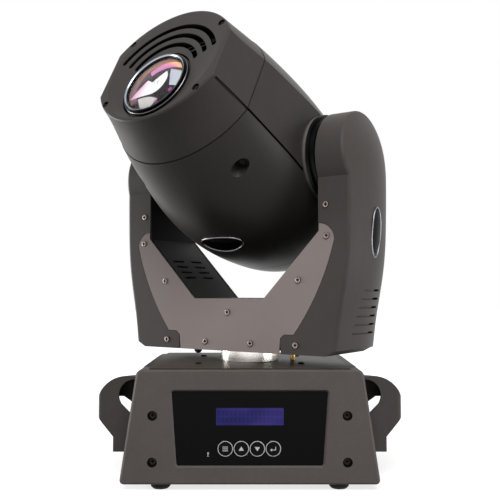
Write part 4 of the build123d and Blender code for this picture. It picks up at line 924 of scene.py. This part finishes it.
class LIGHT_OT_sheet_metal(bpy.types.Operator):
    """Finish the painted and plated sheet metal"""

    bl_idname = "light.sheet_metal"
    bl_label = "Sheet Metal"

    def execute(self, context):
        plates = powder_coat("yoke_plate_paint", opaque(finish_settings().yoke_plate), roughness=0.45)
        paint(plates, "front_yoke_plate", "rear_yoke_plate")
        paint(powder_coat("inner_cover_paint", rgb(43, 42, 41)), "inner_cover")
        paint(powder_coat("tray_paint", rgb(34, 33, 33)), "base_tray", "connector_panel")
        paint(powder_coat("top_cover_paint", rgb(58, 51, 42), roughness=0.44, gloss=0.16), "top_cover")
        # painted shade: the yoke frame is made black to stand for the shade inside the arms
        paint(powder_coat("frame_black", rgb(26, 26, 26)), "yoke_frame")
        paint(plated_steel("plated_sheet", rgb(176, 178, 180)), "head_chassis")
        paint(plated_steel("supply_case", rgb(188, 189, 190), roughness=0.4), "power_supply")
        return {"FINISHED"}


class LIGHT_OT_turned_parts(bpy.types.Operator):
    """Finish the turned metal parts"""

    bl_idname = "light.turned_parts"
    bl_label = "Turned Parts"

    def execute(self, context):
        paint(turned_metal("collar_metal", rgb(246, 240, 234), BASE, 0.17), "pan_collar")
        paint(turned_metal("bearing_steel", rgb(150, 150, 150), BASE, 0.3), "pan_hub", "pan_bearing")
        paint(turned_metal("pulley_metal", rgb(186, 186, 188), BASE, 0.3), "pan_pulley", "pan_pinion")
        paint(turned_metal("pin_brass", rgb(196, 158, 92), BASE, 0.25), "pan_stop_pin")
        tilt_turning = YOKE @ Matrix.Rotation(math.pi / 2, 4, "Y")
        tilt_steel = turned_metal("tilt_steel", rgb(160, 160, 162), tilt_turning, 0.28)
        paint(tilt_steel, "tilt_shafts", "tilt_bearings", "tilt_pulley", "tilt_pinion")
        disc_metal = turned_metal("disc_metal", rgb(150, 150, 154), HEAD, 0.35)
        paint(disc_metal, "color_wheel", "gobo_wheel", "focus_carriage")
        paint(barrel_metal("barrel_black"), "lens_barrel")
        paint(turned_metal("fin_metal", rgb(196, 197, 199), HEAD, 0.4), "heat_sink")
        return {"FINISHED"}


class LIGHT_OT_drives(bpy.types.Operator):
    """Finish the motors, belts, boards and fan"""

    bl_idname = "light.drives"
    bl_label = "Drives and Boards"

    def execute(self, context):
        paint(stepper_case("pan_motor_case", YOKE, 2), "pan_motor")
        paint(stepper_case("tilt_motor_case", YOKE, 0), "tilt_motor")
        paint(stepper_case("optics_motor_case", HEAD, 2), "optics_motors")
        paint(belt_rubber("belt_rubber"), "pan_belt", "tilt_belt")
        paint(circuit_board("board_mask"), "control_board", "driver_board")
        paint(grained_plastic("fan_plastic", rgb(30, 30, 31), 0.4), "fan_housing", "fan_rotor")
        paint(grained_plastic("lamp_carrier", rgb(214, 206, 150), 0.35), "led_module")
        return {"FINISHED"}


class LIGHT_OT_small_parts(bpy.types.Operator):
    """Finish the feet, keys, display, sockets and screws"""

    bl_idname = "light.small_parts"
    bl_label = "Small Parts"

    def execute(self, context):
        paint(moulded_rubber("foot_rubber", rgb(22, 20, 18)), "rubber_feet", "yoke_bumper")
        paint(gloss_black("panel_gloss", rgb(9, 9, 10), 0.08), "control_panel")
        paint(display_glow("display_glow"), "lcd_module")
        keys = gloss_black("key_plastic", rgb(16, 16, 17), 0.22)
        paint(keys, "mode_button", "up_button", "down_button", "enter_button")
        paint(grained_plastic("socket_plastic", rgb(24, 24, 25), 0.35), "power_inlet", "dmx_sockets")
        screws = plated_steel("screw_steel", rgb(96, 94, 92), 0.32)
        paint(screws, "base_screws", "yoke_screws", "head_screws")
        paint(clear_glass("focus_glass", rgb(236, 246, 255)), "focus_lens")
        return {"FINISHED"}


# -------------------------------------------------- pieces


def facing(origin, outward, up):
    """A placement in millimetres whose Z axis points outward and whose Y axis points up."""
    outward, up = Vector(outward), Vector(up)
    rotation = Matrix((up.cross(outward), up, outward)).transposed()
    return Matrix.Translation(Vector(origin)) @ rotation.to_4x4()


def add_heads(name, spots, place, body, node, material):
    """Cross-recess screw heads at spots given as (origin, outward, up): one piece that stands for a node."""
    head, shade = screw_head(SCREW_RADIUS, SCREW_CROWN)
    points, faces = joined([aimed(head, facing(*spot)) for spot in spots])
    shade = np.tile(shade, len(spots))
    piece = add_mesh(name, placed(place, points), faces, body, material, shade=shade)
    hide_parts(node)


class LIGHT_OT_screws(bpy.types.Operator):
    """Add the screw heads of the base, the yoke and the head"""

    bl_idname = "light.screws"
    bl_label = "Screws"

    def execute(self, context):
        both = (-1, 1)
        wells = [(side * WELLS_ACROSS, z) for side in both for z in WELL_HEIGHTS]
        base = [((x, end * WELL_FLOOR, z), (0, end, 0), UP) for end in both for x, z in wells]
        x, y = COVER_SCREWS
        base += [((side * x, end * y, COVER_TOP), UP, (0, 1, 0)) for side in both for end in both]
        dark = screw_finish("blackened_steel", rgb(52, 48, 46), 0.4)
        add_heads("base_screw_heads", base, BASE, "base", "base_screws", dark)

        plate_spots = [(side * x, z) for side in both for x, z in ARM_SCREWS] + [MIDDLE_SCREW]
        yoke = [((x, end * PLATE_FACE, z), (0, end, 0), UP) for end in both for x, z in plate_spots]
        bright = screw_finish("nickel_steel", rgb(150, 134, 127), 0.36)
        add_heads("yoke_screw_heads", yoke, YOKE, "yoke", "yoke_screws", bright)

        a, b = CAP_SCREWS
        head = [((side * a, end * b, CAP_FACE), UP, (0, 1, 0)) for side in both for end in both]
        a, b, c = SHELL_SCREWS
        head += [((side * a, b, c), FRONT, UP) for side in both]
        add_heads("head_screw_heads", head, HEAD, "head", "head_screws", dark)
        return {"FINISHED"}


def add_lens_piece(name, part, material):
    """One piece drawn in millimetres round the lens axis; it rides on the head."""
    points, faces = part
    return add_mesh(name, placed(HEAD, points + np.array([0, -LENS_DROP, 0])), faces, "head", material)


def lens_disc(radius, top, top_bulge, under, under_bulge, count=41):
    """A round lens: both sides fall by their bulge from the middle to the rim, with the radius squared."""
    x, y = disc_grid(count)
    reach = x * x + y * y
    sides = [
        np.stack([radius * x, radius * y, height - bulge * reach], axis=-1)
        for height, bulge in ((top, top_bulge), (under, under_bulge))
    ]
    return plate(*sides)


class LIGHT_OT_optics(bpy.types.Operator):
    """Add the front glass, its bright lip and the element under it that carries painted reflections"""

    bl_idname = "light.optics"
    bl_label = "Front Optics"

    def execute(self, context):
        rise = np.linspace(0, 1, 10)
        bevel = np.column_stack([31.3 + 2.0 * rise, 162.3 + 2.4 * np.sin(rise * np.pi / 2)])
        lip = turned(np.concatenate([bevel, [(33.9, 164.4), (34.1, 163.7), (33.6, 162.3)]]), 128)
        add_lens_piece("lens_lip", lip, lip_metal("lip_metal"))

        glass = lens_disc(30.9, top=165.2, top_bulge=2.6, under=163.8, under_bulge=2.6)
        cover = add_lens_piece("front_glass", glass, clear_glass("front_glass", rgb(255, 250, 252)))
        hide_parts("front_lens")

        element = lens_disc(30.6, top=163.2, top_bulge=2.8, under=154.0, under_bulge=0.0)
        add_lens_piece("coated_element", element, coated_element("element_coating"))
        return {"FINISHED"}


def print_place(x, z, ahead=0.0):
    """A placement on the control panel's face, or ahead of it, whose Z axis points outward."""
    return facing((x, PANEL_FACE - ahead, z), FRONT, UP)


def key_place(index, ahead=0.0):
    """The placement of one of the four keys."""
    return print_place(KEYS_MIDDLE + KEY_PITCH * (index - 1.5), KEY_HEIGHT, ahead)


def bar(left, low, right, high):
    """A printed rectangle."""
    return slab([(left, low), (right, low), (right, high), (left, high)], PRINT)


class LIGHT_OT_legends(bpy.types.Operator):
    """Add the printed rings and marks of the keys and the microphone mark beside them"""

    bl_idname = "light.legends"
    bl_label = "Key Legends"

    def execute(self, context):
        ink = printed_ink("print_ink", opaque(finish_settings().print_white))

        def add_print(name, part, body):
            """One printed piece, given in millimetres in the base's frame."""
            points, faces = part
            add_mesh(name, placed(BASE, points), faces, body, ink, smooth=False)

        inside, outside = 6.62, 7.3
        ring = turned([(inside, 0.0), (outside, 0.0), (outside, PRINT), (inside, PRINT)], 64)
        add_print("key_rings", joined([aimed(ring, key_place(index)) for index in range(4)]), "base")

        marks = (
            ("mode_key", [bar(-2.5, y - 0.36, 2.5, y + 0.36) for y in (-1.8, 0, 1.8)]),
            ("up_key", [slab([(-2.5, -1.7), (2.5, -1.7), (0, 2.3)], PRINT)]),
            ("down_key", [slab([(-2.5, 1.7), (0, -2.3), (2.5, 1.7)], PRINT)]),
            ("enter_key", [
                bar(-1.4, -1.35, 2.6, -0.65),
                bar(1.9, -0.65, 2.6, 2.0),
                slab([(-3.0, -1.0), (-1.2, -2.5), (-1.2, 0.5)], PRINT),
            ]),
        )
        for index, (body, parts) in enumerate(marks):
            add_print(body + "_mark", aimed(joined(parts), key_place(index, ahead=KEY_AHEAD)), body)

        angle = np.linspace(0, 2 * np.pi, 16, endpoint=False)
        capsule = slab(np.column_stack([0.75 * np.cos(angle), 1.15 * np.sin(angle) + 0.5]), PRINT)
        microphone = joined([capsule, bar(-0.2, -1.9, 0.2, -0.6), bar(-1.1, -2.2, 1.1, -1.85)])
        add_print("microphone_mark", aimed(microphone, print_place(-39.7, 28.3)), "base")
        return {"FINISHED"}


def under_head(a, c):
    """Underside of the head shell: across it a circle through the flats' lower edges and the lowest point."""
    side = np.interp(c, (-40, 0, 40), (92.5, 94.2, 91.8))
    drop = 101.2 - (c - 8) ** 2 * 0.0028
    flat = np.interp(c, (-40, 0, 40), (37.5, 36.5, 34.5))
    radius = (side**2 + (drop - flat) ** 2) / (2 * (drop - flat))
    return np.stack([a, radius - drop - np.sqrt(radius**2 - a**2), c], axis=-1)


def arm_side(y, z):
    """Outer side of the right arm: a circle from front to back whose crown leans in towards both ends."""
    crown = np.interp(z, (195, 250, 290, 316), (145.0, 149.5, 150.0, 148.4))
    radius = 102.1
    return np.stack([crown - radius + np.sqrt(radius**2 - y**2), y, z], axis=-1)


def add_badge(name, surface, middle, half, outward, place, body):
    """A blank oval badge laid over a curved side: its face domes with the radius squared and turns down at
    its edge, and its rim is a ring of round section."""
    lift, dome, drop, rim_tube = 0.9, 0.5, 1.5, 0.75
    outward = np.array(outward)

    def oval(across, along, height):
        """Points of the surface over the oval, raised by a height."""
        base = surface(middle[0] + half[0] * across, middle[1] + half[1] * along)
        return base + height[..., None] * outward

    x, y = disc_grid(25)
    reach = np.sqrt(x * x + y * y)
    height = lift + dome * (1 - reach**2) - drop * np.clip(reach - 0.97, 0, 1) / 0.03
    points, faces = plate(oval(x, y, height), oval(x, y, np.full_like(x, -0.6)))
    face = gloss_black(name + "_face", rgb(12, 12, 13), 0.14)
    add_mesh(name, placed(place, points), faces, body, face)

    turn, tube = np.meshgrid(
        np.linspace(0, 2 * np.pi, 96, endpoint=False),
        np.linspace(0, 2 * np.pi, 12, endpoint=False),
        indexing="ij",
    )
    out = rim_tube * np.cos(tube) - 0.4
    across, along = (1 + out / half[0]) * np.cos(turn), (1 + out / half[1]) * np.sin(turn)
    points = oval(across, along, lift + rim_tube * np.sin(tube)).reshape(-1, 3)
    steel = plated_steel(name + "_rim_steel", rgb(132, 134, 138), 0.26)
    add_mesh(name + "_rim", placed(place, points), grid_faces(96, 12, True, True), body, steel)


class LIGHT_OT_badges(bpy.types.Operator):
    """Add the blank oval badges of the head and the arm"""

    bl_idname = "light.badges"
    bl_label = "Blank Badges"

    def execute(self, context):
        add_badge("head_badge", under_head, (2.3, 5.6), (25.0, 13.5), FRONT, HEAD, "head")
        add_badge("arm_badge", arm_side, (0.5, 239.5), (9.6, 24.5), (1, 0, 0), YOKE, "yoke")
        return {"FINISHED"}


# -------------------------------------------------- panel


class LIGHT_PT_sidebar(bpy.types.Panel):
    """Lists the pieces and settings of the light"""

    bl_label = "Stage Light"
    bl_idname = "LIGHT_PT_sidebar"
    bl_space_type = "VIEW_3D"
    bl_region_type = "UI"
    bl_category = "Stage Light"

    def draw(self, context):
        layout = self.layout
        for group in (stage_settings(), finish_settings()):
            box = layout.box()
            for setting in group.bl_rna.properties:
                if setting.identifier not in ("rna_type", "name"):
                    box.prop(group, setting.identifier)
        for operator in PIECES:
            layout.operator(operator.bl_idname)


GROUPS = (StageSettings, FinishSettings)
PIECES = (
    LIGHT_OT_stage,
    LIGHT_OT_housings,
    LIGHT_OT_sheet_metal,
    LIGHT_OT_turned_parts,
    LIGHT_OT_drives,
    LIGHT_OT_small_parts,
    LIGHT_OT_screws,
    LIGHT_OT_optics,
    LIGHT_OT_legends,
    LIGHT_OT_badges,
)


def register():
    """Add the settings, the operators and the panel."""
    for kind in (*GROUPS, *PIECES, LIGHT_PT_sidebar):
        bpy.utils.register_class(kind)
    bpy.types.Scene.light_stage = bpy.props.PointerProperty(type=StageSettings)
    bpy.types.Scene.light_finish = bpy.props.PointerProperty(type=FinishSettings)


def unregister():
    """Take them away again."""
    del bpy.types.Scene.light_finish
    del bpy.types.Scene.light_stage
    for kind in reversed((*GROUPS, *PIECES, LIGHT_PT_sidebar)):
        bpy.utils.unregister_class(kind)


def main():
    """Build the light's looks."""
    register()
    for operator in PIECES:
        family, name = operator.bl_idname.split(".")
        getattr(getattr(bpy.ops, family), name)()


if __name__ == "__main__":
    main()
